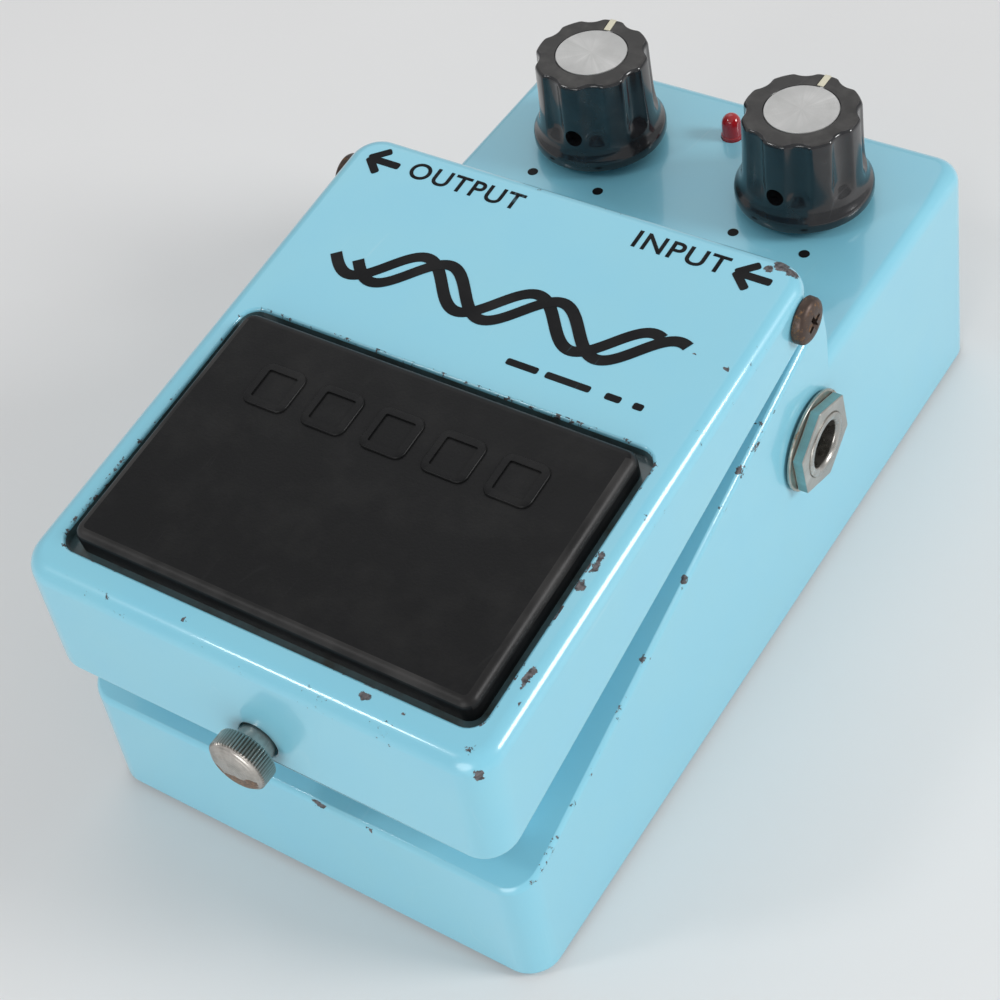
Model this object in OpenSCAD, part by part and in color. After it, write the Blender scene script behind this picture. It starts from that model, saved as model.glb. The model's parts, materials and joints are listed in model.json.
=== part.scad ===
// Compact foot-operated effects pedal. Millimetres, +Z up, +Y towards the knobs.
// The origin is the centre of the underside. Each sub-part below is one named node.

/* [Housing] */
// Width of the cast housing at the floor
housing_width = 70; // [69.6:0.1:70.4]
// Depth of the cast housing at the floor
housing_depth = 126; // [125.6:0.1:126.4]
// Height of the flat deck that carries the knobs
deck_height = 36.5; // [36.2:0.1:36.8]
// Casting wall thickness
wall = 2.6; // [2.4:0.1:2.8]
// Sideways draft of the casting, in degrees
draft = 1.5; // [1.3:0.1:1.7]
// Radius of the upright corners
corner_radius = 4.5; // [3.5:0.5:5]

/* [Pedal] */
// Half width of the moving pedal plate
pedal_half_width = 34.4; // [34.2:0.1:34.6]
// Height of the pedal's top at its front edge
pedal_front_height = 46.9; // [46.7:0.1:47.1]
// Slope of the pedal's top, in degrees
pedal_slope = 6.1; // [6:0.1:6.2]
// Thickness of the rubber grip pad
pad_thickness = 3.4; // [3:0.1:3.6]
// Radius of the thumbscrew's knurled head
thumb_radius = 4.1; // [3.8:0.1:4.3]

/* [Knobs] */
// Distance of each knob from the middle
knob_offset = 16.7; // [16.5:0.1:16.9]
// Radius of the knob's flared skirt
skirt_radius = 9.8; // [9.4:0.1:10.2]
// Height of the knob's metal cap above the floor
knob_top = 52; // [51.8:0.1:52.4]

/* [Jacks] */
// Bore radius of the signal jacks, for a 6.35 mm plug
jack_bore_radius = 3.25; // [3.2:0.01:3.3]
// Height of the signal jacks' axes
jack_height = 26.8; // [26.6:0.1:27]

/* [Hidden] */
$fn = 48;
half_depth = housing_depth / 2;
half_width = housing_width / 2;
rise = tan(pedal_slope);
lean = tan(draft);
hinge_y = 10.6;
hinge_z = 49.9;
hinge_clear = 6.6;
ledge_front = 18.8;
ledge_rise = 0.326;
jack_y = 11.9;
knob_y = 45.4;
deck_wall = 2.6;
platform_x = 29.3;
step_top = 38;
spring_x = -12;
switch_x = 12;
spring_y = -45;
switch_y = -46;
thumb_z = 32.3;
led_x = 0.9;
led_y = 53.3;
dc_z = 19;
plate_low = 1.6;
plate_high = 2.8;
board_low = 8;
board_high = 9.6;

paint = [0.52, 0.77, 0.86];
steel = [0.72, 0.72, 0.7];
black = [0.06, 0.06, 0.07];
green = [0.2, 0.42, 0.25];

// Height of the pedal's top plane and of the housing's ledge at a given depth
function top_at(y) = pedal_front_height + (y + 63.95) * rise;
function ledge_at(y) = ledge_front + (y + 63) * ledge_rise;

// A flat shape drawn as (Y, Z), pushed out to both sides along X
module across(half) {
    rotate([90, 0, 90]) translate([0, 0, -half]) linear_extrude(2 * half) children();
}

// A flat shape drawn as (X, Z), pushed out to both sides along Y
module lengthwise(half) {
    rotate([90, 0, 0]) translate([0, 0, -half]) linear_extrude(2 * half) children();
}

// A rectangle with round corners, centred
module rounded(w, d, r) {
    square([w - 2 * r, d], center = true);
    square([w, d - 2 * r], center = true);
    for (x = [-1, 1], y = [-1, 1]) translate([x * (w / 2 - r), y * (d / 2 - r)]) circle(r);
}

// A rod along X from one end to the other
module rod_x(x0, x1, y, z, r) {
    translate([x0, y, z]) rotate([0, 90, 0]) cylinder(h = x1 - x0, r = r);
}

// A rod along Y from one end to the other
module rod_y(x, y0, y1, z, r) {
    translate([x, y1, z]) rotate([90, 0, 0]) cylinder(h = y1 - y0, r = r);
}

// A box from one corner to the opposite one
module block(a, b) {
    translate(a) cube(b - a);
}

// ---- Housing: sloping front, raised platform, saddle for the hinge and flat deck ----

module housing_outer() {
    intersection() {
        translate([0, 0, 0.8]) linear_extrude(60) rounded(housing_width, housing_depth, corner_radius);
        across(50) polygon([
            [-half_depth, 0], [half_depth, 0], [half_depth - 1, deck_height], [18.8, deck_height],
            [17.3, 45.6], [12.4, 45.6], [12.4, ledge_at(12.4)], [8, ledge_at(8)],
            [-half_depth + 0.4, ledge_front]]);
        lengthwise(80) polygon([
            [-half_width, 0], [half_width, 0],
            [half_width - 60 * lean, 60], [-half_width + 60 * lean, 60]]);
    }
}

module platform_outer() {
    across(platform_x) polygon([
        [-56, 15], [12.4, 15], [12.4, 45.6], [6, 48], [-37.5, 43.3], [-37.5, step_top],
        [-56, step_top]]);
}

module platform_inner() {
    across(platform_x - 1.6) polygon([
        [-54.2, 10], [-38.8, 10], [-38.8, step_top - 2.2], [-54.2, step_top - 2.2]]);
    across(platform_x - 1.6) polygon([
        [-4.4, 10], [9.6, 10], [9.6, 40.6], [5, 45.6], [-4.4, 44.6]]);
    block([-platform_x + 1.6, -39, 10], [platform_x - 1.6, -4, 22.4]);
}

module housing_inner() {
    intersection() {
        across(50) polygon([
            [-half_depth + wall, 0], [half_depth - wall, 0], [half_depth - wall - 0.9, deck_height - deck_wall],
            [16, deck_height - deck_wall], [14.6, 41], [10.5, 40],
            [-half_depth + wall + 0.4, ledge_front - wall]]);
        lengthwise(80) polygon([
            [-half_width + wall, 0], [half_width - wall, 0],
            [half_width - wall - 60 * lean, 60], [-half_width + wall + 60 * lean, 60]]);
        linear_extrude(60) rounded(housing_width - 2 * wall, housing_depth - 2 * wall, 3);
    }
}

module battery_well() {
    block([-platform_x + 1.8, -36, 24], [platform_x - 1.8, -6.2, 60]);
}

module board_posts() {
    for (x = [-25, 25]) {
        translate([x, -48, board_high]) cylinder(h = 13, r = 3.2);
        translate([x, 27, board_high]) cylinder(h = 25, r = 3.2);
    }
}

module plate_posts() {
    intersection() {
        union() {
            for (x = [-27.4, 27.4]) {
                translate([x, -55.5, plate_high]) cylinder(h = 15, r = 3.6);
                translate([x, 55.5, plate_high]) cylinder(h = 32, r = 3.6);
            }
        }
        housing_outer();
    }
}

module hinge_ears() {
    for (s = [-1, 1]) {
        rod_x(s > 0 ? 27.5 : -31.5, s > 0 ? 31.5 : -27.5, hinge_y, hinge_z, 2.75);
        block([s > 0 ? 27.5 : -31.5, hinge_y - 2.6, 42.6], [s > 0 ? 31.5 : -27.5, hinge_y + 1.2, hinge_z]);
    }
}

module housing() {
    color(paint) difference() {
        union() {
            difference() {
                union() {
                    housing_outer();
                    platform_outer();
                }
                difference() {
                    union() {
                        housing_inner();
                        platform_inner();
                    }
                    block([-platform_x, -37.6, 22.4], [platform_x, -4.4, 60]);
                }
                battery_well();
                rod_x(-50, 50, hinge_y, hinge_z, hinge_clear);
            }
            hinge_ears();
            board_posts();
            plate_posts();
        }
        rod_x(-40, 40, hinge_y, hinge_z, 2.15);
        for (s = [-1, 1]) {
            rod_x(s > 0 ? 26 : -40, s > 0 ? 40 : -26, jack_y, jack_height, 4.8);
            translate([s * knob_offset, knob_y, 20]) cylinder(h = 30, r = 3.9);
            translate([s * 25, -48, board_low]) cylinder(h = 9, r = 1.3);
            translate([s * 25, 27, board_low]) cylinder(h = 9, r = 1.3);
            translate([s * 27.4, -55.5, 0]) cylinder(h = 10.5, r = 1.3);
            translate([s * 27.4, 55.5, 0]) cylinder(h = 10.5, r = 1.3);
        }
        translate([led_x, led_y, 30]) cylinder(h = 5.9, r = 2.2);
        translate([led_x, led_y, 30]) cylinder(h = 10, r = 1.65);
        rod_y(0, 50, 70, dc_z, 4.6);
        translate([0, -56.5, 0]) guide_shape(3.8, 4);
        translate([spring_x, spring_y, step_top - 1.2]) cylinder(h = 5, r = 7.2);
        translate([switch_x, switch_y, 30]) cylinder(h = 20, r = 3.1);
        for (x = [25.5, 22.9]) translate([x, -21, 20]) cylinder(h = 10, r = 1);
    }
}

// The tall slot that lets the thumbscrew's tip follow the pedal
module guide_shape(r, length) {
    rod_y(0, 0, length, thumb_z, r);
    rod_y(0, 0, length, thumb_z - 3.6, r);
    block([-r, 0, thumb_z - 3.6], [r, length, thumb_z]);
}

// ---- Underside ----

module screw_spots() {
    for (x = [-27.4, 27.4], y = [-55.5, 55.5]) translate([x, y, 0]) children();
}

module bottom_plate() {
    color(steel) difference() {
        translate([0, 0, plate_low]) linear_extrude(plate_high - plate_low)
            rounded(housing_width - 2 * wall - 0.6, housing_depth - 2 * wall - 0.6, 2.6);
        screw_spots() cylinder(h = 5, r = 1.7);
    }
}

module bottom_rubber() {
    color(black) difference() {
        linear_extrude(plate_low)
            rounded(housing_width - 2 * wall - 2, housing_depth - 2 * wall - 2, 4);
        screw_spots() translate([0, 0, -1]) cylinder(h = 5, r = 3.6);
    }
}

module bottom_screws() {
    color(steel) screw_spots() difference() {
        union() {
            translate([0, 0, 0.5]) cylinder(h = 1.1, r = 2.8);
            translate([0, 0, 1.6]) cylinder(h = 8.4, r = 1.28);
        }
        for (a = [0, 90]) rotate([0, 0, a]) translate([-1.4, -0.3, 0]) cube([2.8, 0.6, 1]);
    }
}

// ---- Hinge, guide, spring and foot switch ----

module hinge_bushings() {
    color([0.85, 0.84, 0.78]) for (s = [-1, 1]) difference() {
        rod_x(s > 0 ? 27.5 : -31.6, s > 0 ? 31.6 : -27.5, hinge_y, hinge_z, 2.15);
        rod_x(-40, 40, hinge_y, hinge_z, 1.55);
    }
}

module guide_bush() {
    color([0.85, 0.84, 0.78]) difference() {
        translate([0, -56.2, 0]) guide_shape(3.8, 3.6);
        translate([0, -58, 0]) guide_shape(2.4, 8);
    }
}

module spring_seat() {
    color(black) translate([spring_x, spring_y, step_top - 1.2]) difference() {
        cylinder(h = 1.9, r = 7.1);
        translate([0, 0, 0.8]) cylinder(h = 3, r = 6.3);
    }
}

module pedal_bumpers() {
    color(black) for (x = [-24.5, 24.5]) translate([x, -47, step_top]) {
        cylinder(h = 3.2, r = 2.6);
        translate([0, 0, 3.2]) cylinder(h = 0.7, r1 = 2.6, r2 = 1.9);
    }
}

module footswitch_body() {
    color(black) difference() {
        union() {
            block([switch_x - 6.5, switch_y - 6.5, 23.5], [switch_x + 6.5, switch_y + 6.5, 34.6]);
            translate([switch_x, switch_y, 34.6]) cylinder(h = 5, r = 3);
        }
        translate([switch_x, switch_y, 30]) cylinder(h = 15, r = 2.05);
    }
    color(steel) for (x = [-3, 3]) block([switch_x + x - 0.8, switch_y - 0.3, 20.5],
        [switch_x + x + 0.8, switch_y + 0.3, 23.5]);
}

module footswitch_nut() {
    color(steel) translate([switch_x, switch_y, step_top]) difference() {
        cylinder(h = 1.6, r = 4.6, $fn = 6);
        translate([0, 0, -1]) cylinder(h = 4, r = 3);
    }
}

module footswitch_plunger() {
    color([0.8, 0.2, 0.16]) translate([switch_x, switch_y, 0]) {
        translate([0, 0, 33]) cylinder(h = 11.2, r = 2);
        translate([0, 0, 44.2]) cylinder(h = 0.55, r1 = 2, r2 = 1.4);
    }
}

// ---- Pedal: cast plate with a recess, grip pad, hinge screws, spring, thumbscrew ----

module pedal_outline() {
    polygon([
        [-64.6, 28.5], [9.3, 45.7], [13.2, 46.6], [14.95, 48.4], [14.95, 52.8],
        [13.1, top_at(13.1)], [-64.05, top_at(-64.05)]]);
}

module pedal_plate() {
    color(paint) difference() {
        intersection() {
            across(pedal_half_width) pedal_outline();
            translate([0, -24.825, 0]) linear_extrude(80)
                rounded(2 * pedal_half_width + 0.02, 79.57, 4.5);
        }
        across(pedal_half_width - 2.5) polygon([
            [-62.2, 10], [-62.2, top_at(-62.2) - 3.6], [-2, top_at(-2) - 3.6],
            [-2, top_at(-2) - 2], [12.8, top_at(12.8) - 2], [12.8, 52], [30, 52], [30, 10]]);
        translate([0, -38.7, 0]) rotate([pedal_slope, 0, 0])
            translate([0, 0, (top_at(-38.7) - 1.8) * cos(pedal_slope)])
            translate([0, top_at(-38.7) * sin(pedal_slope), 0]) linear_extrude(20) rounded(61.6, 41.4, 2.4);
        rod_x(-40, 40, hinge_y, hinge_z, 1.55);
        rod_y(0, -70, -60, thumb_z, 2.8);
    }
}

// The grip pad has a raised block pattern near its rear edge
module pedal_pad() {
    color(black) translate([0, -38.7, 0]) rotate([pedal_slope, 0, 0])
        translate([0, top_at(-38.7) * sin(pedal_slope), (top_at(-38.7) - 1.8) * cos(pedal_slope)]) {
            linear_extrude(pad_thickness - 1) rounded(58.8, 38.6, 1.6);
            translate([0, 0, pad_thickness - 1]) linear_extrude(1) rounded(56.8, 36.6, 1);
            for (x = [-18, -9, 0, 9, 18]) translate([x - 3.2, 6.2, pad_thickness])
                cube([6.4, 6.6, 0.35]);
        }
}

module hinge_screws() {
    color(steel) for (s = [-1, 1]) rotate([0, 0, s > 0 ? 0 : 180]) difference() {
        union() {
            rod_x(pedal_half_width + 0.1, pedal_half_width + 1.3, s * hinge_y, hinge_z, 3.2);
            translate([pedal_half_width + 1.3, s * hinge_y, hinge_z]) rotate([0, 90, 0])
                cylinder(h = 0.5, r1 = 3.2, r2 = 2.5);
            rod_x(27, pedal_half_width + 0.1, s * hinge_y, hinge_z, 1.5);
        }
        for (a = [0, 90]) translate([pedal_half_width + 1.9, s * hinge_y, hinge_z]) rotate([a + 20, 0, 0])
            cube([2.2, 3.4, 0.75], center = true);
    }
}

module pedal_spring() {
    turns = 4.5;
    low = step_top - 0.4 + 0.55;
    high = top_at(spring_y - 5.4) - 3.6 - 0.6;
    steps = 72;
    color(steel) translate([spring_x, spring_y, 0]) for (i = [0 : steps - 1]) hull()
        for (k = [i, i + 1]) rotate([0, 0, 360 * turns * k / steps])
            translate([5.4, 0, low + (high - low) * k / steps]) sphere(r = 0.55, $fn = 8);
}

module thumbscrew() {
    color(steel) difference() {
        union() {
            rod_y(0, -69.6, -66.2, thumb_z, thumb_radius);
            rod_y(0, -66.9, -63.6, thumb_z, 2.6);
            rod_y(0, -64, -56.4, thumb_z, 2);
        }
        for (a = [0 : 10 : 350]) translate([0, 0, thumb_z]) rotate([0, a, 0])
            translate([thumb_radius + 0.1, -70, 0]) rotate([-90, 0, 0]) cylinder(h = 5, r = 0.26, $fn = 4);
        rod_y(0, -61.95, -61.25, thumb_z, 2.5);
    }
    color(steel) rod_y(0, -62.1, -61.1, thumb_z, 1.5);
}

module thumbscrew_clip() {
    color(steel) difference() {
        rod_y(0, -61.9, -61.3, thumb_z, 3.7);
        rod_y(0, -65, -58, thumb_z, 1.55);
        block([-0.9, -65, thumb_z - 6], [0.9, -58, thumb_z]);
    }
}

// ---- Circuit board and its parts ----

module circuit_board() {
    color(green) difference() {
        block([-29, -51.5, board_low], [29, 31, board_high]);
        for (x = [-25, 25], y = [-48, 27]) translate([x, y, 0]) cylinder(h = 20, r = 1.7);
    }
}

module board_screws() {
    color(steel) for (x = [-25, 25], y = [-48, 27]) translate([x, y, 0]) difference() {
        union() {
            translate([0, 0, board_low - 1.8]) cylinder(h = 1.8, r = 2.8);
            translate([0, 0, board_low]) cylinder(h = 8, r = 1.28);
        }
        for (a = [0, 90]) rotate([0, 0, a]) translate([-1.4, -0.3, board_low - 3]) cube([2.8, 0.6, 2]);
    }
}

module insulating_sheet() {
    color([0.75, 0.74, 0.68]) block([-28, -50, 3.1], [28, 30, 3.5]);
}

module chip(x, y, length) {
    block([x - length / 2, y - 3.1, board_high + 0.8], [x + length / 2, y + 3.1, board_high + 4]);
    for (i = [0 : floor(length / 2.54) - 1], s = [-1, 1])
        block([x - length / 2 + 1 + i * 2.54, y + s * 3.3 - 0.2, board_high],
            [x - length / 2 + 1.5 + i * 2.54, y + s * 3.3 + 0.2, board_high + 2]);
}

module integrated_circuits() {
    color(black) {
        chip(-12, -30, 10.2);
        chip(-12, -14, 10.2);
        chip(8, -24, 10.2);
        chip(10, 20, 20.4);
    }
}

module electrolytic_capacitors() {
    color([0.15, 0.2, 0.35]) for (p = [[-22, -38], [-22, -28], [-22, -18], [22, -36], [22, -26],
        [22, -16], [-4, -40], [-20, 16], [0, 8], [22, 14]]) translate([p[0], p[1], board_high]) {
        translate([0, 0, 0.4]) cylinder(h = 8.6, r = 2.5);
        cylinder(h = 0.6, r = 0.3);
    }
}

module film_capacitors() {
    color([0.45, 0.2, 0.1]) for (p = [[-4, -30], [-4, -20], [14, -34], [14, -14], [-8, 0], [8, 0],
        [-10, 12]]) translate([p[0], p[1], board_high + 0.3]) linear_extrude(5.5) rounded(5.6, 2.4, 1);
}

module resistors() {
    color([0.75, 0.62, 0.42]) for (p = [[-14, -40], [-14, -36], [4, -40], [4, -36], [14, -40],
        [-14, -22], [-14, -6], [0, -10], [14, -8], [-20, 2], [-20, 6], [20, 2], [20, 6], [-10, 18],
        [-10, 24], [2, 14]]) translate([p[0], p[1], 0]) {
        rod_x(-2.6, 2.6, 0, board_high + 1.3, 1);
        for (s = [-1, 1]) {
            rod_x(s > 0 ? 2.6 : -4, s > 0 ? 4 : -2.6, 0, board_high + 1.3, 0.3);
            translate([s * 4, 0, board_high]) cylinder(h = 1.6, r = 0.3);
        }
    }
}

module trimmers() {
    color([0.2, 0.35, 0.7]) for (p = [[-22, -8], [22, -6], [4, -16]]) translate([p[0], p[1], board_high])
        difference() {
            union() {
                translate([0, 0, 0.3]) linear_extrude(3.4) rounded(6.6, 6.6, 0.8);
                translate([0, 0, 3.7]) cylinder(h = 0.8, r = 2.4);
            }
            translate([-1.8, -0.4, 4]) cube([3.6, 0.8, 2]);
        }
}

// ---- Battery ----

module battery() {
    color([0.7, 0.55, 0.2]) {
        block([-27, -34.2, 25.4], [18.9, -8, 42.8]);
        for (y = [-27.4, -14.8]) rod_x(18.9, 21.2, y, 34.1, y < -20 ? 2.8 : 3.6);
    }
}

module battery_snap() {
    color(black) difference() {
        block([19.4, -33.6, 28.6], [23.6, -8.6, 39.6]);
        for (y = [-27.4, -14.8]) rod_x(19, 21.6, y, 34.1, y < -20 ? 3 : 3.8);
    }
}

module battery_leads() {
    color([0.7, 0.1, 0.1]) for (x = [25.5, 22.9]) translate([x, -21, 0]) {
        translate([0, 0, board_high]) cylinder(h = 18.4 - (x > 24 ? 0 : 1.8), r = 0.65);
        translate([x > 24 ? -2.3 : 0, 0, x > 24 ? 28 : 26.2]) {
            if (x > 24) {
                translate([2.3, 0, 0]) cylinder(h = 3.4, r = 0.65);
                rod_x(0.4, 2.3, 0, 3.4, 0.65);
            } else cylinder(h = 2.4, r = 0.65);
        }
    }
}

module battery_pad() {
    color([0.3, 0.3, 0.32]) block([-26, -33, 24], [18, -9, 25.4]);
}

// ---- Signal jacks: bushing, body, springs, nut and washer ----

module jack_sleeve(s) {
    color(steel) difference() {
        union() {
            rod_x(s > 0 ? 28.8 : -36.8, s > 0 ? 36.8 : -28.8, jack_y, jack_height, 4.6);
            rod_x(s > 0 ? 28.8 : -31, s > 0 ? 31 : -28.8, jack_y, jack_height, 5.6);
        }
        rod_x(-50, 50, jack_y, jack_height, jack_bore_radius);
    }
}

module jack_body(s) {
    x0 = s > 0 ? 10.4 : -28.8;
    x1 = s > 0 ? 28.8 : -10.4;
    color(black) difference() {
        block([x0, jack_y - 6.4, jack_height - 6.4], [x1, jack_y + 6.4, jack_height + 5.6]);
        block([x0 + (s > 0 ? 1.2 : -1), jack_y - 5, jack_height - 5],
            [x1 + (s > 0 ? 1 : -1.2), jack_y + 5, jack_height + 7]);
        block([s * 15.5 - 0.6, jack_y - 1.6, jack_height - 7], [s * 15.5 + 0.6, jack_y + 1.6, jack_height - 4]);
    }
}

module jack_contacts(s) {
    color(steel) {
        for (y = [-4.4, 4.4]) block([s > 0 ? 12 : -28, jack_y + y - 0.2, jack_height - 3],
            [s > 0 ? 28 : -12, jack_y + y + 0.2, jack_height + 2.6]);
        block([s > 0 ? 15 : -16, jack_y - 1.5, jack_height - 11], [s > 0 ? 16 : -15, jack_y + 1.5, jack_height - 5]);
    }
}

module jack_nut(s) {
    color(steel) translate([s > 0 ? 35.02 : -36.62, jack_y, jack_height]) rotate([0, 90, 0]) difference() {
        rotate([0, 0, 10]) cylinder(h = 1.6, r = 6.93, $fn = 6);
        translate([0, 0, -1]) cylinder(h = 5, r = 4.6);
    }
}

module jack_washer(s) {
    color(steel) translate([s > 0 ? 34.54 : -35.02, jack_y, jack_height]) rotate([0, 90, 0]) difference() {
        cylinder(h = 0.48, r = 7.2);
        translate([0, 0, -1]) cylinder(h = 3, r = 4.65);
    }
}

module output_jack_sleeve() { jack_sleeve(-1); }
module output_jack_body() { jack_body(-1); }
module output_jack_contacts() { jack_contacts(-1); }
module output_jack_nut() { jack_nut(-1); }
module output_jack_washer() { jack_washer(-1); }
module input_jack_sleeve() { jack_sleeve(1); }
module input_jack_body() { jack_body(1); }
module input_jack_contacts() { jack_contacts(1); }
module input_jack_nut() { jack_nut(1); }
module input_jack_washer() { jack_washer(1); }

// ---- Power socket ----

module dc_jack_body() {
    color(black) difference() {
        union() {
            block([-5.4, 47.5, dc_z - 5.4], [5.4, 59.6, dc_z + 5.4]);
            rod_y(0, 59, 64.8, dc_z, 4.5);
        }
        rod_y(0, 52, 70, dc_z, 2.8);
    }
}

module dc_jack_pin() {
    color(steel) {
        rod_y(0, 52, 63.6, dc_z, 1.05);
        sphere_at(0, 63.6, dc_z, 1.05);
    }
}

module sphere_at(x, y, z, r) {
    translate([x, y, z]) sphere(r = r);
}

module dc_jack_nut() {
    color(steel) difference() {
        rod_y(0, 62.75, 64.4, dc_z, 6);
        rod_y(0, 60, 70, dc_z, 4.5);
    }
}

// ---- Potentiometers and knobs ----

module pot_body(s) {
    color(steel) translate([s * knob_offset, knob_y, 0]) difference() {
        union() {
            translate([0, 0, 24.4]) cylinder(h = 8.9, r = 8.2);
            translate([0, 0, 33.3]) cylinder(h = 5.9, r = 3.7);
            for (x = [-5, 0, 5]) translate([x - 0.8, 5, 26]) cube([1.6, 8, 0.6]);
        }
        translate([0, 0, 26]) cylinder(h = 20, r = 3.05);
    }
}

module pot_left_body() { pot_body(-1); }
module pot_right_body() { pot_body(1); }

module pot_nuts() {
    color(steel) for (s = [-1, 1]) translate([s * knob_offset, knob_y, deck_height + 0.5]) difference() {
        cylinder(h = 1.7, r = 5.6, $fn = 6);
        translate([0, 0, -1]) cylinder(h = 4, r = 3.7);
    }
}

module pot_washers() {
    color(steel) for (s = [-1, 1]) translate([s * knob_offset, knob_y, deck_height]) difference() {
        cylinder(h = 0.5, r = 5.9);
        translate([0, 0, -1]) cylinder(h = 3, r = 3.75);
    }
}

// The left knob is set a little past the rear, the right one straight at it
module at_knob(s) {
    translate([s * knob_offset, knob_y, 0]) rotate([0, 0, s < 0 ? 7 : 0]) children();
}

module knob(s) {
    color(black) at_knob(s) difference() {
        rotate_extrude() polygon([
            [0, 38], [skirt_radius - 0.3, 38], [skirt_radius, 38.3], [skirt_radius, 39.4],
            [skirt_radius - 0.6, 40.2], [skirt_radius - 1.05, 41.6], [8.55, 44], [8.3, knob_top - 0.6],
            [7.9, knob_top - 0.1], [0, knob_top - 0.1]]);
        translate([0, 0, 37]) cylinder(h = 3.4, r = 6.6);
        translate([0, 0, 37]) cylinder(h = 13.6, r = 3.02);
        translate([0, 0, knob_top - 0.5]) cylinder(h = 2, r = 5.3);
        for (a = [22.5 : 45 : 360]) rotate([0, 0, a]) translate([10.95, 0, 41.4]) cylinder(h = 20, r = 3.3);
        translate([0, 0, 43]) rotate([90, 0, 0]) cylinder(h = 12, r = 1.5);
        translate([-0.6, 5, knob_top - 0.6]) cube([1.2, 4, 2]);
        translate([-0.6, 7.3, 44]) cube([1.2, 3, 10]);
    }
}

module knob_cap(s) {
    color(steel) translate([s * knob_offset, knob_y, knob_top - 0.5]) cylinder(h = 0.5, r = 5.2);
}

module pointer(s) {
    color([0.9, 0.87, 0.75]) at_knob(s) {
        translate([-0.55, 5.35, knob_top - 0.55]) cube([1.1, 2.6, 0.5]);
        translate([-0.55, 7.4, 44.2]) cube([1.1, 0.65, knob_top - 44.7]);
    }
}

module set_screw(s) {
    color(steel) at_knob(s) translate([0, 0, 43]) rotate([90, 0, 0]) difference() {
        translate([0, 0, 3.05]) cylinder(h = 3.2, r = 1.48);
        translate([-1.2, -0.25, 5.4]) cube([2.4, 0.5, 2]);
    }
}

module pot_shaft(s) {
    color(steel) translate([s * knob_offset, knob_y, 27]) cylinder(h = 23.4, r = 3);
}

module knob_left() { knob(-1); }
module knob_cap_left() { knob_cap(-1); }
module pointer_left() { pointer(-1); }
module set_screw_left() { set_screw(-1); }
module pot_shaft_left() { pot_shaft(-1); }
module knob_right() { knob(1); }
module knob_cap_right() { knob_cap(1); }
module pointer_right() { pointer(1); }
module set_screw_right() { set_screw(1); }
module pot_shaft_right() { pot_shaft(1); }

// ---- Check lamp ----

module led_lens() {
    color([0.8, 0.08, 0.1]) translate([led_x, led_y, 0]) {
        translate([0, 0, 33]) cylinder(h = 5.9, r = 1.55);
        translate([0, 0, 38.9]) sphere(r = 1.55);
    }
}

module led_holder() {
    color(black) translate([led_x, led_y, 0]) difference() {
        union() {
            translate([0, 0, 32]) cylinder(h = 3.8, r = 2.15);
            translate([0, 0, 31]) cylinder(h = 2.6, r = 3);
        }
        translate([0, 0, 30]) cylinder(h = 10, r = 1.6);
    }
}

housing();
bottom_plate();
bottom_rubber();
bottom_screws();
hinge_bushings();
guide_bush();
spring_seat();
pedal_bumpers();
footswitch_body();
footswitch_nut();
circuit_board();
board_screws();
insulating_sheet();
integrated_circuits();
electrolytic_capacitors();
film_capacitors();
resistors();
trimmers();
battery();
battery_snap();
battery_leads();
battery_pad();
output_jack_sleeve();
output_jack_body();
output_jack_contacts();
output_jack_nut();
output_jack_washer();
input_jack_sleeve();
input_jack_body();
input_jack_contacts();
input_jack_nut();
input_jack_washer();
dc_jack_body();
dc_jack_pin();
dc_jack_nut();
pot_left_body();
pot_right_body();
pot_nuts();
pot_washers();
led_lens();
led_holder();
hinge_screws();
pedal_spring();
pedal_plate();
pedal_pad();
thumbscrew_clip();
thumbscrew();
footswitch_plunger();
knob_left();
knob_cap_left();
pointer_left();
set_screw_left();
pot_shaft_left();
knob_right();
knob_cap_right();
pointer_right();
set_screw_right();
pot_shaft_right();
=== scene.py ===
import bpy
import bmesh
import json
import math
from mathutils import Matrix, Vector

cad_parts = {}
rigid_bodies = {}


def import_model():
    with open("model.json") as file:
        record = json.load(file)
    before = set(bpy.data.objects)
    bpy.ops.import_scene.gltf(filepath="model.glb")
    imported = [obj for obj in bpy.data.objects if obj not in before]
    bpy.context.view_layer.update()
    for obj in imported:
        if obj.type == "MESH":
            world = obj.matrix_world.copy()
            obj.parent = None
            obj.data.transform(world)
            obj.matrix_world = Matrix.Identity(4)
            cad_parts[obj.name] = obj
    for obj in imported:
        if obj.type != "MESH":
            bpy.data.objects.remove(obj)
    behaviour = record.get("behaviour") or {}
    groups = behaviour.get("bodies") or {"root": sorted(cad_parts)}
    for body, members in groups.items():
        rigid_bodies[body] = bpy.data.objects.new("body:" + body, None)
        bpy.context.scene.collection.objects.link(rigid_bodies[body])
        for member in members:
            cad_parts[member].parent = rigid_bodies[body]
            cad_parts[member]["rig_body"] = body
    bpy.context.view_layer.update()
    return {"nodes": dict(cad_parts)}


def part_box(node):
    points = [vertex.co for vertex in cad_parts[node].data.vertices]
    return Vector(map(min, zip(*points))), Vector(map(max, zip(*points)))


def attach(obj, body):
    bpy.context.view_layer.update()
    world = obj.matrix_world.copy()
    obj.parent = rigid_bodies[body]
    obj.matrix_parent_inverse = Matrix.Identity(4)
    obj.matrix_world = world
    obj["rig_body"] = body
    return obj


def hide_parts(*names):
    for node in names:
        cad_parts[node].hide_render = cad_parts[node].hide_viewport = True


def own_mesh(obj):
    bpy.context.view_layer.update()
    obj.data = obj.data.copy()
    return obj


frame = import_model()
nodes = frame["nodes"]
mm = 0.001
pi = math.pi
print("frame loaded")


# handling of objects

def deselectAll():
    if bpy.context.object and bpy.context.object.mode != "OBJECT":
        bpy.ops.object.mode_set(mode="OBJECT")
    bpy.ops.object.select_all(action="DESELECT")


def activate(obj):
    deselectAll()
    obj.select_set(True)
    bpy.context.view_layer.objects.active = obj


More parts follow.
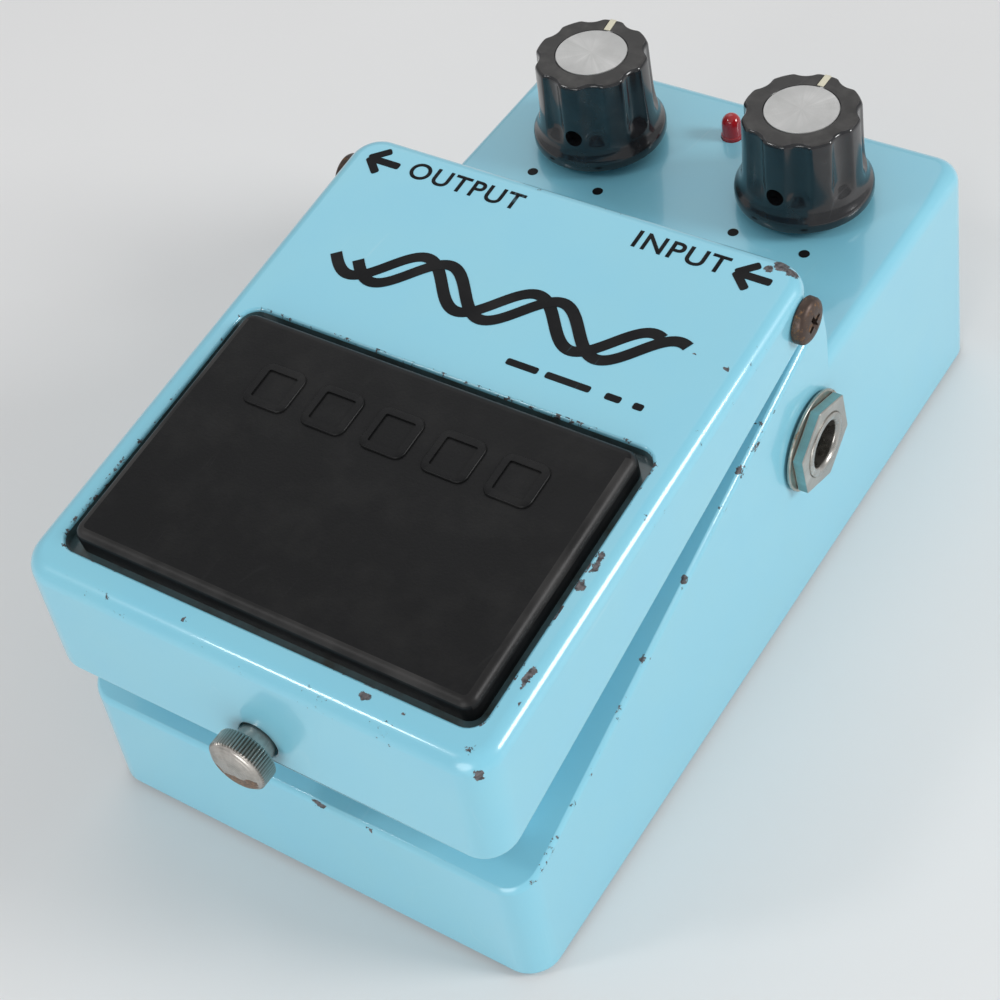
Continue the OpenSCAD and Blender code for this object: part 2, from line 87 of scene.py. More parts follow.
def named(name):
    made = bpy.context.object
    made.name = name
    made.data.name = name
    return made


def applyPlace(obj):
    activate(obj)
    bpy.ops.object.transform_apply(location=True, rotation=True, scale=True)


def joinAll(name, parts):
    activate(parts[0])
    for part in parts[1:]:
        part.select_set(True)
    bpy.ops.object.join()
    return named(name)


def meshCopy(obj, name, turn=(0, 0, 0), move=(0, 0, 0)):
    made = bpy.data.objects.new(name, obj.data.copy())
    bpy.context.scene.collection.objects.link(made)
    made.rotation_euler = turn
    made.location = move
    applyPlace(made)
    return made


def selectFaces(obj, test):
    activate(obj)
    bpy.ops.object.mode_set(mode="EDIT")
    bpy.ops.mesh.select_mode(type="FACE")
    bpy.ops.mesh.select_all(action="DESELECT")
    mesh = bmesh.from_edit_mesh(obj.data)
    mesh.normal_update()
    for face in mesh.faces:
        if test(face.calc_center_median(), face.normal):
            face.select_set(True)
    bmesh.update_edit_mesh(obj.data)


def selectEdges(obj, test):
    activate(obj)
    bpy.ops.object.mode_set(mode="EDIT")
    bpy.ops.mesh.select_mode(type="EDGE")
    bpy.ops.mesh.select_all(action="DESELECT")
    mesh = bmesh.from_edit_mesh(obj.data)
    mesh.normal_update()
    for edge in mesh.edges:
        ends = [v.co for v in edge.verts]
        if test(ends[0], ends[1]):
            edge.select_set(True)
    bmesh.update_edit_mesh(obj.data)


# a merged copy of a frame node, ready for rounding
def nodeCopy(name, node):
    made = bpy.data.objects.new(name, nodes[node].data.copy())
    bpy.context.scene.collection.objects.link(made)
    made.data.name = name
    made.data.materials.clear()
    activate(made)
    bpy.ops.object.mode_set(mode="EDIT")
    bpy.ops.mesh.select_all(action="SELECT")
    bpy.ops.mesh.customdata_custom_splitnormals_clear()
    bpy.ops.mesh.remove_doubles(threshold=0.000001)
    bpy.ops.mesh.dissolve_limited(angle_limit=math.radians(0.6))
    bpy.ops.object.mode_set(mode="OBJECT")
    return made


def applyModifier(obj, modifier):
    activate(obj)
    bpy.ops.object.modifier_apply(modifier=modifier.name)


# rounds the edges that turn by more than the angle
def roundEdges(obj, width, steps=2, angle=32):
    rounding = obj.modifiers.new("round", "BEVEL")
    rounding.width = width
    rounding.segments = steps
    rounding.limit_method = "ANGLE"
    rounding.angle_limit = math.radians(angle)
    rounding.use_clamp_overlap = True
    applyModifier(obj, rounding)


# rounds each edge by its own share of the width
def roundByRules(obj, width, steps, rules):
    activate(obj)
    bpy.ops.object.mode_set(mode="EDIT")
    mesh = bmesh.from_edit_mesh(obj.data)
    mesh.normal_update()
    weight = mesh.edges.layers.float.new("bevel_weight_edge")
    for edge in mesh.edges:
        if len(edge.link_faces) != 2 or not edge.is_convex:
            continue
        first, second = [face.normal for face in edge.link_faces]
        if first.angle(second) < math.radians(24):
            continue
        middle = (edge.verts[0].co + edge.verts[1].co) / 2
        upper, lower = (first, second) if first.z > second.z else (second, first)
        for share, test in rules:
            if test(middle, upper, lower):
                edge[weight] = share
                break
    bmesh.update_edit_mesh(obj.data)
    bpy.ops.object.mode_set(mode="OBJECT")
    rounding = obj.modifiers.new("round", "BEVEL")
    rounding.width = width
    rounding.segments = steps
    rounding.limit_method = "WEIGHT"
    rounding.use_clamp_overlap = False
    applyModifier(obj, rounding)


# marks faces with an amount kept in an attribute: edge wear, and painted recess shade with grime
def markFaces(obj, attribute, rules):
    marks = obj.data.attributes.new(attribute, "FLOAT", "CORNER")
    for face in obj.data.polygons:
        amount = next((level for level, test in rules if test(face.center, face.normal)), 0.0)
        for corner in face.loop_indices:
            marks.data[corner].value = amount


# smooth shading that keeps the flats flat
def smooth(obj, angle=32, flats=True):
    activate(obj)
    bpy.ops.object.shade_smooth_by_angle(angle=math.radians(angle))
    if flats:
        keep = obj.modifiers.new("flats", "WEIGHTED_NORMAL")
        keep.mode = "FACE_AREA"
        keep.weight = 80
        keep.keep_sharp = True
        applyModifier(obj, keep)


# a turned shape round Z: rings of (height, radius), extruded one after the other
def turned(name, rings, sides=64, shape=None):
    deselectAll()
    bpy.ops.mesh.primitive_circle_add(vertices=sides, radius=1, location=(0, 0, 0))
    made = named(name)
    bpy.ops.object.mode_set(mode="EDIT")
    bpy.ops.mesh.select_mode(type="VERT")
    bpy.ops.mesh.select_all(action="SELECT")
    for place, (height, radius) in enumerate(rings):
        if place:
            bpy.ops.mesh.extrude_region_move(TRANSFORM_OT_translate={"value": (0, 0, 1)})
        mesh = bmesh.from_edit_mesh(made.data)
        for v in mesh.verts:
            if v.select:
                angle = math.atan2(v.co.y, v.co.x)
                reach = shape(angle, height, radius) if shape else radius
                v.co = (reach * math.cos(angle), reach * math.sin(angle), height)
        bmesh.update_edit_mesh(made.data)
    if rings[0] == rings[-1]:
        bpy.ops.mesh.select_all(action="SELECT")
        bpy.ops.mesh.remove_doubles(threshold=0.000001)
    else:
        bpy.ops.mesh.edge_face_add()
        bpy.ops.mesh.select_all(action="DESELECT")
        bpy.ops.mesh.select_non_manifold()
        bpy.ops.mesh.edge_face_add()
    bpy.ops.mesh.select_all(action="SELECT")
    bpy.ops.mesh.normals_make_consistent(inside=False)
    bpy.ops.object.mode_set(mode="OBJECT")
    return made


# joins, cuts or trims a solid with another, which is used up
def combine(obj, other, operation):
    mixing = obj.modifiers.new("combine", "BOOLEAN")
    mixing.operation = operation
    mixing.solver = "EXACT"
    mixing.object = other
    applyModifier(obj, mixing)
    bpy.data.objects.remove(other)


def boxAt(name, low, high):
    deselectAll()
    size = [high[i] - low[i] for i in range(3)]
    bpy.ops.mesh.primitive_cube_add(size=1, location=[(high[i] + low[i]) / 2 for i in range(3)])
    bpy.context.object.scale = size
    bpy.ops.object.transform_apply(location=True, scale=True)
    return named(name)


# a solid with a straight outline along X, given as (y, z) corners
def crossBar(name, outline, low, high):
    deselectAll()
    bpy.ops.mesh.primitive_circle_add(vertices=len(outline), radius=1, fill_type="NGON")
    made = named(name)
    for v, (y, z) in zip(made.data.vertices, outline):
        v.co = (low, y, z)
    activate(made)
    bpy.ops.object.mode_set(mode="EDIT")
    bpy.ops.mesh.select_all(action="SELECT")
    bpy.ops.mesh.extrude_region_move(TRANSFORM_OT_translate={"value": (high - low, 0, 0)})
    bpy.ops.mesh.select_all(action="SELECT")
    bpy.ops.mesh.normals_make_consistent(inside=False)
    bpy.ops.object.mode_set(mode="OBJECT")
    return made


def bevelChosen(obj, test, width, steps):
    selectEdges(obj, test)
    bpy.ops.mesh.bevel(offset=width, offset_type="OFFSET", segments=steps, affect="EDGES",
        clamp_overlap=False)
    bpy.ops.object.mode_set(mode="OBJECT")


# an upright block with round corners, its sides leaning in by the draft as they rise
def roundBlock(name, low, high, corner, lean=0.0, steps=9):
    made = boxAt(name, low, high)
    inward = (high[2] - low[2]) * math.tan(lean)
    selectFaces(made, lambda m, n: n.z > 0.9)
    bpy.ops.transform.resize(value=(1 - 2 * inward / (high[0] - low[0]),
        1 - 2 * inward / (high[1] - low[1]), 1))
    bpy.ops.object.mode_set(mode="OBJECT")
    bevelChosen(made, lambda a, b: abs(a.z - b.z) > (high[2] - low[2]) / 2, corner, steps)
    return made


def finished(obj, body, material, replaced=()):
    obj.data.materials.clear()
    obj.data.materials.append(material)
    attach(obj, body)
    if replaced:
        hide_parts(*replaced)
    return obj


def pieceName(node):
    first, *others = node.split("_")
    return first + "".join(part.capitalize() for part in others)


def roundedNode(node, material, width=0.2 * mm, steps=2):
    made = nodeCopy(pieceName(node), node)
    roundEdges(made, width, steps)
    smooth(made)
    return finished(made, nodes[node]["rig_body"], material, (node,))


# node-tree helpers

def feed(tree, socket, value):
    if isinstance(value, bpy.types.NodeSocket):
        tree.links.new(value, socket)
    else:
        socket.default_value = value


def addNode(tree, kind, sockets=None, **settings):
    made = tree.nodes.new("ShaderNode" + kind)
    for key, value in settings.items():
        setattr(made, key, value)
    for key, value in (sockets or {}).items():
        feed(tree, made.inputs[key], value)
    return made


def sums(tree, operation, first, second=None, clamp=False):
    made = addNode(tree, "Math", operation=operation, use_clamp=clamp)
    for place, value in enumerate((first, second)):
        if value is not None:
            feed(tree, made.inputs[place], value)
    return made.outputs[0]


def times(tree, first, second, clamp=False):
    return sums(tree, "MULTIPLY", first, second, clamp)


def plus(tree, first, second, clamp=False):
    return sums(tree, "ADD", first, second, clamp)


def less(tree, first, second, clamp=False):
    return sums(tree, "SUBTRACT", first, second, clamp)


def most(tree, first, second):
    return sums(tree, "MAXIMUM", first, second)


def vectorSums(tree, operation, first, second=None):
    made = addNode(tree, "VectorMath", operation=operation)
    for place, value in enumerate((first, second)):
        if value is not None:
            feed(tree, made.inputs[place], value)
    return made


def cloud(tree, vector, scale, detail, roughness=0.5):
    return addNode(tree, "TexNoise", {"Vector": vector, "Scale": scale, "Detail": detail,
        "Roughness": roughness})


def blendColour(tree, factor, first, second):
    made = addNode(tree, "Mix", data_type="RGBA")
    for place, value in ((0, factor), (6, first), (7, second)):
        plain = place and not isinstance(value, bpy.types.NodeSocket)
        feed(tree, made.inputs[place], (*value[:3], 1) if plain else value)
    return made.outputs[2]


def ramp(tree, value, low, high):
    made = addNode(tree, "MapRange", {"Value": value, "From Min": low, "From Max": high})
    made.clamp = True
    return made.outputs[0]


def newGroup(name, given, made):
    tree = bpy.data.node_groups.new(name, "ShaderNodeTree")
    for label, kind, value in given:
        socket = tree.interface.new_socket(label, in_out="INPUT", socket_type="NodeSocket" + kind)
        socket.default_value = value
    for label, kind in made:
        tree.interface.new_socket(label, in_out="OUTPUT", socket_type="NodeSocket" + kind)
    return tree, tree.nodes.new("NodeGroupInput").outputs, tree.nodes.new("NodeGroupOutput").inputs


def useGroup(tree, group, sockets):
    made = tree.nodes.new("ShaderNodeGroup")
    made.node_tree = group
    for key, value in sockets.items():
        feed(tree, made.inputs[key], value)
    return made.outputs


# ragged copy of the place on the piece, so that spots get torn outlines
def makeRaggedPlace():
    tree, given, made = newGroup(
        "raggedPlace",
        [("Vector", "Vector", (0, 0, 0)), ("Scale", "Float", 900.0), ("Amount", "Float", 0.001)],
        [("Vector", "Vector")])
    noise = cloud(tree, given["Vector"], given["Scale"], 4.0, 0.65)
    centred = vectorSums(tree, "SUBTRACT", noise.outputs["Color"], (0.5, 0.5, 0.5))
    shifted = vectorSums(tree, "SCALE", centred.outputs[0])
    feed(tree, shifted.inputs["Scale"], given["Amount"])
    total = vectorSums(tree, "ADD", given["Vector"], shifted.outputs[0])
    tree.links.new(total.outputs[0], made["Vector"])
    return tree


# one spot of bare metal at a place, with its reach along each axis
def makeBareSpot():
    tree, given, made = newGroup(
        "bareSpot",
        [("Vector", "Vector", (0, 0, 0)), ("Centre", "Vector", (0, 0, 0)),
            ("Reach", "Vector", (0.001, 0.001, 0.001)),
         ("Before", "Float", 0.0)],
        [("Mask", "Float")])
    away = vectorSums(tree, "SUBTRACT", given["Vector"], given["Centre"])
    share = vectorSums(tree, "DIVIDE", away.outputs[0], given["Reach"])
    length = vectorSums(tree, "LENGTH", share.outputs[0])
    spot = times(tree, less(tree, 1.0, length.outputs["Value"]), 9.0, clamp=True)
    tree.links.new(most(tree, spot, given["Before"]), made["Mask"])
    return tree


# wear that eats into marked rims
def makeRimWear():
    tree, given, made = newGroup(
        "rimWear",
        [("Vector", "Vector", (0, 0, 0)), ("Rim", "Float", 0.0), ("Scale", "Float", 420.0)],
        [("Mask", "Float"), ("Haze", "Float")])
    broad = cloud(tree, given["Vector"], given["Scale"], 5.0, 0.7)
    patch = cloud(tree, given["Vector"], times(tree, given["Scale"], 0.16), 2.0)
    level = plus(tree, broad.outputs["Fac"], times(tree, less(tree, patch.outputs["Fac"], 0.5), 0.55))
    need = less(tree, 0.86, times(tree, given["Rim"], 0.3))
    over = times(tree, less(tree, level, need), 26.0, clamp=True)
    shown = times(tree, over, sums(tree, "GREATER_THAN", given["Rim"], 0.01))
    tree.links.new(shown, made["Mask"])
    tree.links.new(times(tree, given["Rim"], patch.outputs["Fac"]), made["Haze"])
    return tree


# thin curved scratches, gathered in patches
def makeFineScratches():
    tree, given, made = newGroup(
        "fineScratches",
        [("Vector", "Vector", (0, 0, 0)), ("Scale", "Float", 60.0), ("Amount", "Float", 0.5)],
        [("Mask", "Float")])
    stretch = addNode(tree, "Mapping", {"Vector": given["Vector"], "Rotation": (0.2, 0.3, 0.7),
        "Scale": (1.0, 0.12, 0.5)})
    line = addNode(tree, "TexNoise", {"Vector": stretch.outputs[0], "Scale": given["Scale"],
        "Detail": 2.0, "Distortion": 0.4})
    thin = sums(tree, "ABSOLUTE", less(tree, line.outputs["Fac"], 0.5))
    mark = less(tree, 1.0, times(tree, thin, 260.0), clamp=True)
    patch = cloud(tree, given["Vector"], times(tree, given["Scale"], 1.7), 2.0)
    gate = ramp(tree, patch.outputs["Fac"], 0.55, 0.7)
    tree.links.new(times(tree, times(tree, mark, gate), given["Amount"]), made["Mask"])
    return tree


# soft blotches of grime
def makeGrime():
    tree, given, made = newGroup(
        "grimeFilm",
        [("Vector", "Vector", (0, 0, 0)), ("Scale", "Float", 80.0), ("Amount", "Float", 0.5)],
        [("Mask", "Float")])
    noise = cloud(tree, given["Vector"], given["Scale"], 6.0, 0.62)
    film = ramp(tree, noise.outputs["Fac"], 0.46, 0.72)
    tree.links.new(times(tree, film, given["Amount"]), made["Mask"])
    return tree


# fine grain for a bump
def makeGrain():
    tree, given, made = newGroup(
        "surfaceGrain",
        [("Vector", "Vector", (0, 0, 0)), ("Scale", "Float", 2500.0)],
        [("Height", "Float"), ("Tone", "Float")])
    noise = cloud(tree, given["Vector"], given["Scale"], 3.0)
    slow = cloud(tree, given["Vector"], times(tree, given["Scale"], 0.05), 2.0)
    tree.links.new(noise.outputs["Fac"], made["Height"])
    tree.links.new(slow.outputs["Fac"], made["Tone"])
    return tree


# lathe rings about an axis, and streaks round it for a painted radial sheen: Across is 0 along the axis
# and 1 across it
def makeTurnedRings():
    tree, given, made = newGroup(
        "turnedRings",
        [("Vector", "Vector", (0, 0, 0)), ("Centre", "Vector", (0, 0, 0)),
            ("Across", "Vector", (1, 1, 0)), ("Pitch", "Float", 0.0004)],
        [("Height", "Float"), ("RadialSheen", "Float")])
    away = vectorSums(tree, "MULTIPLY", vectorSums(tree, "SUBTRACT", given["Vector"],
        given["Centre"]).outputs[0], given["Across"])
    length = vectorSums(tree, "LENGTH", away.outputs[0])
    turn = times(tree, sums(tree, "DIVIDE", length.outputs["Value"], given["Pitch"]), 2 * pi)
    uneven = addNode(tree, "TexNoise", {"W": sums(tree, "DIVIDE", length.outputs["Value"],
        given["Pitch"]), "Scale": 0.9, "Detail": 2.0}, noise_dimensions="1D")
    ring = times(tree, plus(tree, sums(tree, "SINE", turn), 1.0), uneven.outputs["Fac"])
    aim = vectorSums(tree, "NORMALIZE", away.outputs[0])
    # streaks that change with the angle round the axis: a painted radial sheen, as light runs on turned
    # metal
    radialSheen = cloud(tree, aim.outputs[0], 2.2, 5.0, 0.7)
    tree.links.new(ring, made["Height"])
    tree.links.new(radialSheen.outputs["Fac"], made["RadialSheen"])
    return tree


# rust and brown stain
def makeRust():
    tree, given, made = newGroup(
        "rustBloom",
        [("Vector", "Vector", (0, 0, 0)), ("Scale", "Float", 500.0), ("Amount", "Float", 0.4)],
        [("Mask", "Float"), ("Colour", "Color"), ("Height", "Float")])
    noise = cloud(tree, given["Vector"], given["Scale"], 6.0, 0.68)
    fine = cloud(tree, given["Vector"], times(tree, given["Scale"], 4.0), 4.0)
    edge = less(tree, 0.78, times(tree, given["Amount"], 0.5))
    mask = times(tree, less(tree, noise.outputs["Fac"], edge), 12.0, clamp=True)
    tree.links.new(mask, made["Mask"])
    tree.links.new(blendColour(tree, ramp(tree, fine.outputs["Fac"], 0.35, 0.65), (0.05, 0.025, 0.012),
        (0.19, 0.1, 0.045)), made["Colour"])
    tree.links.new(times(tree, mask, fine.outputs["Fac"]), made["Height"])
    return tree


raggedPlace = makeRaggedPlace()
bareSpot = makeBareSpot()
rimWear = makeRimWear()
fineScratches = makeFineScratches()
grimeFilm = makeGrime()
surfaceGrain = makeGrain()
turnedRings = makeTurnedRings()
rustBloom = makeRust()
print("shared effects made")


def newMaterial(name):
    made = bpy.data.materials.new(name)
    made.use_nodes = True
    tree = made.node_tree
    tree.nodes.clear()
    shader = tree.nodes.new("ShaderNodeBsdfPrincipled")
    tree.links.new(shader.outputs[0], tree.nodes.new("ShaderNodeOutputMaterial").inputs["Surface"])
    place = tree.nodes.new("ShaderNodeTexCoord").outputs["Object"]
    return made, tree, shader, place


def bumpInto(tree, shader, height, strength, distance):
    bump = addNode(tree, "Bump", {"Height": height, "Strength": strength, "Distance": distance})
    tree.links.new(bump.outputs[0], shader.inputs["Normal"])


# adds up bare spots, given as (centre, reach) in millimetres
def spotMask(tree, place, spots):
    mask = 0.0
    for centre, reach in spots:
        mask = useGroup(tree, bareSpot, {
            "Vector": place, "Before": mask,
            "Centre": [c * mm for c in centre], "Reach": [r * mm for r in reach]})["Mask"]
    return mask


# gloss enamel with chips, rim wear, scratches and grime; where a look gives it, marked recess faces get
# painted shade tinted as grime
def enamel(name, look, spots):
    made, tree, shader, place = newMaterial(name)
    ragged = useGroup(tree, raggedPlace, {"Vector": place, "Scale": look["tearScale"],
        "Amount": look["tear"]})["Vector"]
    bare = spotMask(tree, ragged, spots)
    rim = addNode(tree, "Attribute", attribute_name="rim").outputs["Fac"]
    rimWearAndSheen = useGroup(tree, rimWear, {"Vector": place, "Rim": rim, "Scale": look["wearScale"]})
    bare = most(tree, bare, rimWearAndSheen["Mask"])
    grain = useGroup(tree, surfaceGrain, {"Vector": place, "Scale": 1800.0})
    scratch = useGroup(tree, fineScratches, {"Vector": place, "Scale": 55.0,
        "Amount": look["scratches"]})["Mask"]
    film = useGroup(tree, grimeFilm, {"Vector": place, "Scale": 45.0, "Amount": look["film"]})["Mask"]
    paint = blendColour(tree, ramp(tree, grain["Tone"], 0.3, 0.7), look["colour"], look["colourWarm"])
    paint = blendColour(tree, film, paint, look["filmColour"])
    paint = blendColour(tree, times(tree, scratch, 0.5), paint, look["scratchColour"])
    # marked recess faces are blended towards near-black: painted shade in the gap round the pad, tinted
    # brown as grime
    if "recessShadeGrimeColour" in look:
        dirt = addNode(tree, "Attribute", attribute_name="dirt").outputs["Fac"]
        patchy = useGroup(tree, grimeFilm, {"Vector": place, "Scale": 260.0, "Amount": 1.0})["Mask"]
        dirt = times(tree, dirt, plus(tree, times(tree, patchy, 0.15), 0.83))
        paint = blendColour(tree, dirt, paint, look["recessShadeGrimeColour"])
    metal = blendColour(tree, ramp(tree, grain["Height"], 0.35, 0.65), look["bareDark"], look["bareLight"])
    tree.links.new(blendColour(tree, bare, paint, metal), shader.inputs["Base Color"])
    rough = plus(tree, look["roughness"], times(tree, film, 0.25))
    rough = plus(tree, rough, times(tree, scratch, 0.2))
    rough = plus(tree, rough, times(tree, bare, 0.3), clamp=True)
    tree.links.new(rough, shader.inputs["Roughness"])
    tree.links.new(less(tree, look["coat"], times(tree, bare, look["coat"])), shader.inputs["Coat Weight"])
    shader.inputs["Coat Roughness"].default_value = look["coatRoughness"]
    shader.inputs["Specular IOR Level"].default_value = 0.5
    height = less(tree, times(tree, grain["Height"], 0.03), bare)
    height = less(tree, height, times(tree, scratch, 0.12))
    height = plus(tree, height, times(tree, grain["Tone"], 0.25))
    bumpInto(tree, shader, height, 0.55, 0.00012)
    return made


# moulded plastic, rubber and film: grain, scratches, dust and a rough or gloss skin, with a painted sheen
# on marked edges where a look gives it
def moulded(name, look):
    made, tree, shader, place = newMaterial(name)
    grain = useGroup(tree, surfaceGrain, {"Vector": place, "Scale": look.get("grain", 2200.0)})
    dust = useGroup(tree, grimeFilm, {"Vector": place, "Scale": look.get("dustScale", 120.0),
        "Amount": look.get("dust", 0.1)})["Mask"]
    scratch = useGroup(tree, fineScratches, {"Vector": place, "Scale": look.get("scratchScale", 90.0),
        "Amount": look.get("scratches", 0.1)})["Mask"]
    dark = [c * 0.86 for c in look["colour"]]
    colour = blendColour(tree, ramp(tree, grain["Tone"], 0.3, 0.7), look["colour"], dark)
    colour = blendColour(tree, dust, colour, look.get("dustColour", (0.3, 0.29, 0.27)))
    colour = blendColour(tree, scratch, colour, look.get("scratchColour", (0.35, 0.35, 0.35)))
    # marked edges are lightened: a painted sheen on the pad's slanted rim
    if "edgeSheenColour" in look:
        rim = addNode(tree, "Attribute", attribute_name="rim").outputs["Fac"]
        rimWearAndSheen = times(tree, rim, plus(tree, times(tree, ramp(tree, grain["Tone"], 0.4, 0.65), 0.7), 0.3))
        colour = blendColour(tree, rimWearAndSheen, colour, look["edgeSheenColour"])
    tree.links.new(colour, shader.inputs["Base Color"])
    rough = plus(tree, look["roughness"], times(tree, less(tree, grain["Tone"], 0.5), 0.12))
    rough = plus(tree, rough, times(tree, dust, 0.35), clamp=True)
    tree.links.new(rough, shader.inputs["Roughness"])
    shader.inputs["Specular IOR Level"].default_value = look.get("specular", 0.5)
    shader.inputs["Coat Weight"].default_value = look.get("coat", 0.0)
    shader.inputs["Coat Roughness"].default_value = 0.12
    height = less(tree, grain["Height"], times(tree, scratch, 1.5))
    bumpInto(tree, shader, height, look.get("bump", 0.25), 0.00006)
    return made


# bare or plated metal: lathe rings, stain, rust and scratches, with painted radial sheen streaks on turned
# parts and painted shade in knurl grooves
def plated(name, look):
    made, tree, shader, place = newMaterial(name)
    grain = useGroup(tree, surfaceGrain, {"Vector": place, "Scale": look.get("grain", 3000.0)})
    scratch = useGroup(tree, fineScratches, {"Vector": place, "Scale": look.get("scratchScale", 160.0),
        "Amount": look.get("scratches", 0.3)})["Mask"]
    film = useGroup(tree, grimeFilm, {"Vector": place, "Scale": look.get("filmScale", 420.0),
        "Amount": look.get("film", 0.3)})["Mask"]
    rust = useGroup(tree, rustBloom, {"Vector": place, "Scale": look.get("rustScale", 520.0),
        "Amount": look.get("rust", 0.0)})
    rusty = rust["Mask"]
    if "rustAt" in look:
        ragged = useGroup(tree, raggedPlace, {"Vector": place, "Scale": 700.0, "Amount": 0.0012})["Vector"]
        patch = spotMask(tree, ragged, look["rustAt"])
        rusty = most(tree, rusty, times(tree, patch, 0.85))
    dull = [c * 0.72 for c in look["colour"]]
    colour = blendColour(tree, ramp(tree, grain["Tone"], 0.3, 0.7), look["colour"], dull)
    height = times(tree, grain["Height"], 0.25)
    if "centre" in look:
        rings = useGroup(tree, turnedRings, {"Vector": place, "Centre": look["centre"],
            "Across": look["across"], "Pitch": look.get("pitch", 0.0004)})
        # turned parts are darkened in radial streaks: painted sheen
        colour = blendColour(tree, ramp(tree, rings["RadialSheen"], 0.35, 0.65), colour,
            look.get("sheenStreakColour", dull))
        height = plus(tree, height, times(tree, rings["Height"], look.get("ringDepth", 0.5)))
    # the knurl grooves are blended into the film colour by their depth: painted shade in the grooves
    if look.get("grooveShade"):
        groove = addNode(tree, "Attribute", attribute_name="groove").outputs["Fac"]
        film = most(tree, film, times(tree, groove, look["grooveShade"]))
    colour = blendColour(tree, film, colour, look.get("filmColour", (0.12, 0.11, 0.09)))
    colour = blendColour(tree, scratch, colour, (0.75, 0.74, 0.72))
    tree.links.new(blendColour(tree, rusty, colour, rust["Colour"]), shader.inputs["Base Color"])
    tree.links.new(less(tree, look.get("metallic", 1.0), plus(tree, times(tree, rusty, 0.9),
        times(tree, film, 0.35)), clamp=True), shader.inputs["Metallic"])
    rough = plus(tree, look["roughness"], times(tree, rusty, 0.4))
    rough = plus(tree, rough, times(tree, film, 0.25), clamp=True)
    tree.links.new(rough, shader.inputs["Roughness"])
    height = plus(tree, height, times(tree, rust["Height"], 1.5))
    bumpInto(tree, shader, height, look.get("bump", 0.3), 0.00005)
    return made


# room: camera, floor and soft lights

roomLook = {
    "cameraPlace": (0.12562, -0.15731, 0.23187),
    "azimuth": 40.953, "elevation": 47.505, "roll": -11.37, "lens": 75.4,
    "floorColour": (0.8, 0.795, 0.79), "worldColour": (0.97, 0.985, 1.0), "worldStrength": 0.5,
    "keyPlace": (0.8, 0.3, 0.46), "keySize": 0.34, "keyPower": 4.6,
    "fillPlace": (-0.3, 0.45, 0.65), "fillSize": 0.6, "fillPower": 0.7,
    "frontPlace": (0.12, -0.95, 0.3), "frontSize": 0.6, "frontPower": 3.2,
    "glintPlace": (-0.39, -0.46, 0.66), "glintSize": 0.13, "glintPower": 0.8,
}


def makeCamera():
    azimuth, elevation, roll = [math.radians(roomLook[key]) for key in ("azimuth", "elevation", "roll")]
    back = Vector((math.sin(azimuth) * math.cos(elevation), -math.cos(azimuth) * math.cos(elevation),
        math.sin(elevation)))
    right = Vector((math.cos(azimuth), math.sin(azimuth), 0))
    up = back.cross(right)
    turnedRight = math.cos(roll) * right + math.sin(roll) * up
    turnedUp = -math.sin(roll) * right + math.cos(roll) * up
    deselectAll()
    bpy.ops.object.camera_add(location=roomLook["cameraPlace"])
    camera = named("studioCamera")
    turn = Matrix((turnedRight, turnedUp, back)).transposed()
    camera.rotation_euler = turn.to_euler()
    camera.data.lens = roomLook["lens"]
    camera.data.sensor_width = 36
    camera.data.clip_start = 0.01
    bpy.context.scene.camera = camera


def makeFloor():
    deselectAll()
    bpy.ops.mesh.primitive_grid_add(x_subdivisions=8, y_subdivisions=8, size=4, location=(0, 0, -0.00005))
    floor = named("studioFloor")
    made, tree, shader, place = newMaterial("paleBoard")
    grain = useGroup(tree, surfaceGrain, {"Vector": place, "Scale": 900.0})
    film = useGroup(tree, grimeFilm, {"Vector": place, "Scale": 9.0, "Amount": 0.1})["Mask"]
    colour = blendColour(tree, film, roomLook["floorColour"], (0.66, 0.65, 0.66))
    tree.links.new(colour, shader.inputs["Base Color"])
    shader.inputs["Roughness"].default_value = 0.55
    bumpInto(tree, shader, grain["Height"], 0.1, 0.0001)
    floor.data.materials.append(made)


def makeLight(name):
    place = roomLook[name + "Place"]
    deselectAll()
    bpy.ops.object.light_add(type="AREA", location=place)
    light = named(name + "Light")
    light.data.shape = "DISK"
    light.data.size = roomLook[name + "Size"]
    light.data.energy = roomLook[name + "Power"]
    aim = Vector((0, 0, 0.02)) - Vector(place)
    light.rotation_euler = aim.to_track_quat("-Z", "Y").to_euler()


makeCamera()
makeFloor()
for lightName in ("key", "fill", "front", "glint"):
    makeLight(lightName)
world = bpy.data.worlds.new("studioWorld")
world.use_nodes = True
world.node_tree.nodes["Background"].inputs["Color"].default_value = (*roomLook["worldColour"], 1)
world.node_tree.nodes["Background"].inputs["Strength"].default_value = roomLook["worldStrength"]
bpy.context.scene.world = world
bpy.context.scene.view_settings.view_transform = "Standard"
print("room made")


# places that the pieces share, all from the frame

treadleLow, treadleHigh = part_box("pedal_plate")
caseLow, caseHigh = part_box("housing")
slope = math.radians(6.1)
underRise = 0.2328  # rise of the treadle's lower edge towards the hinge
hingePlace = Vector((0, 10.6 * mm, 49.9 * mm))
thumbHeight = 32.3 * mm


def treadleTop(y):
    return treadleHigh.z - (treadleHigh.y - 1.85 * mm - y) * math.tan(slope)


# puts a flat piece, made round the origin, on the treadle's top
def layOnTreadle(obj, x, y, lift=0.0):
    obj.rotation_euler = (slope, 0, 0)
    obj.location = (x, y, treadleTop(y) + lift)
    applyPlace(obj)


# case

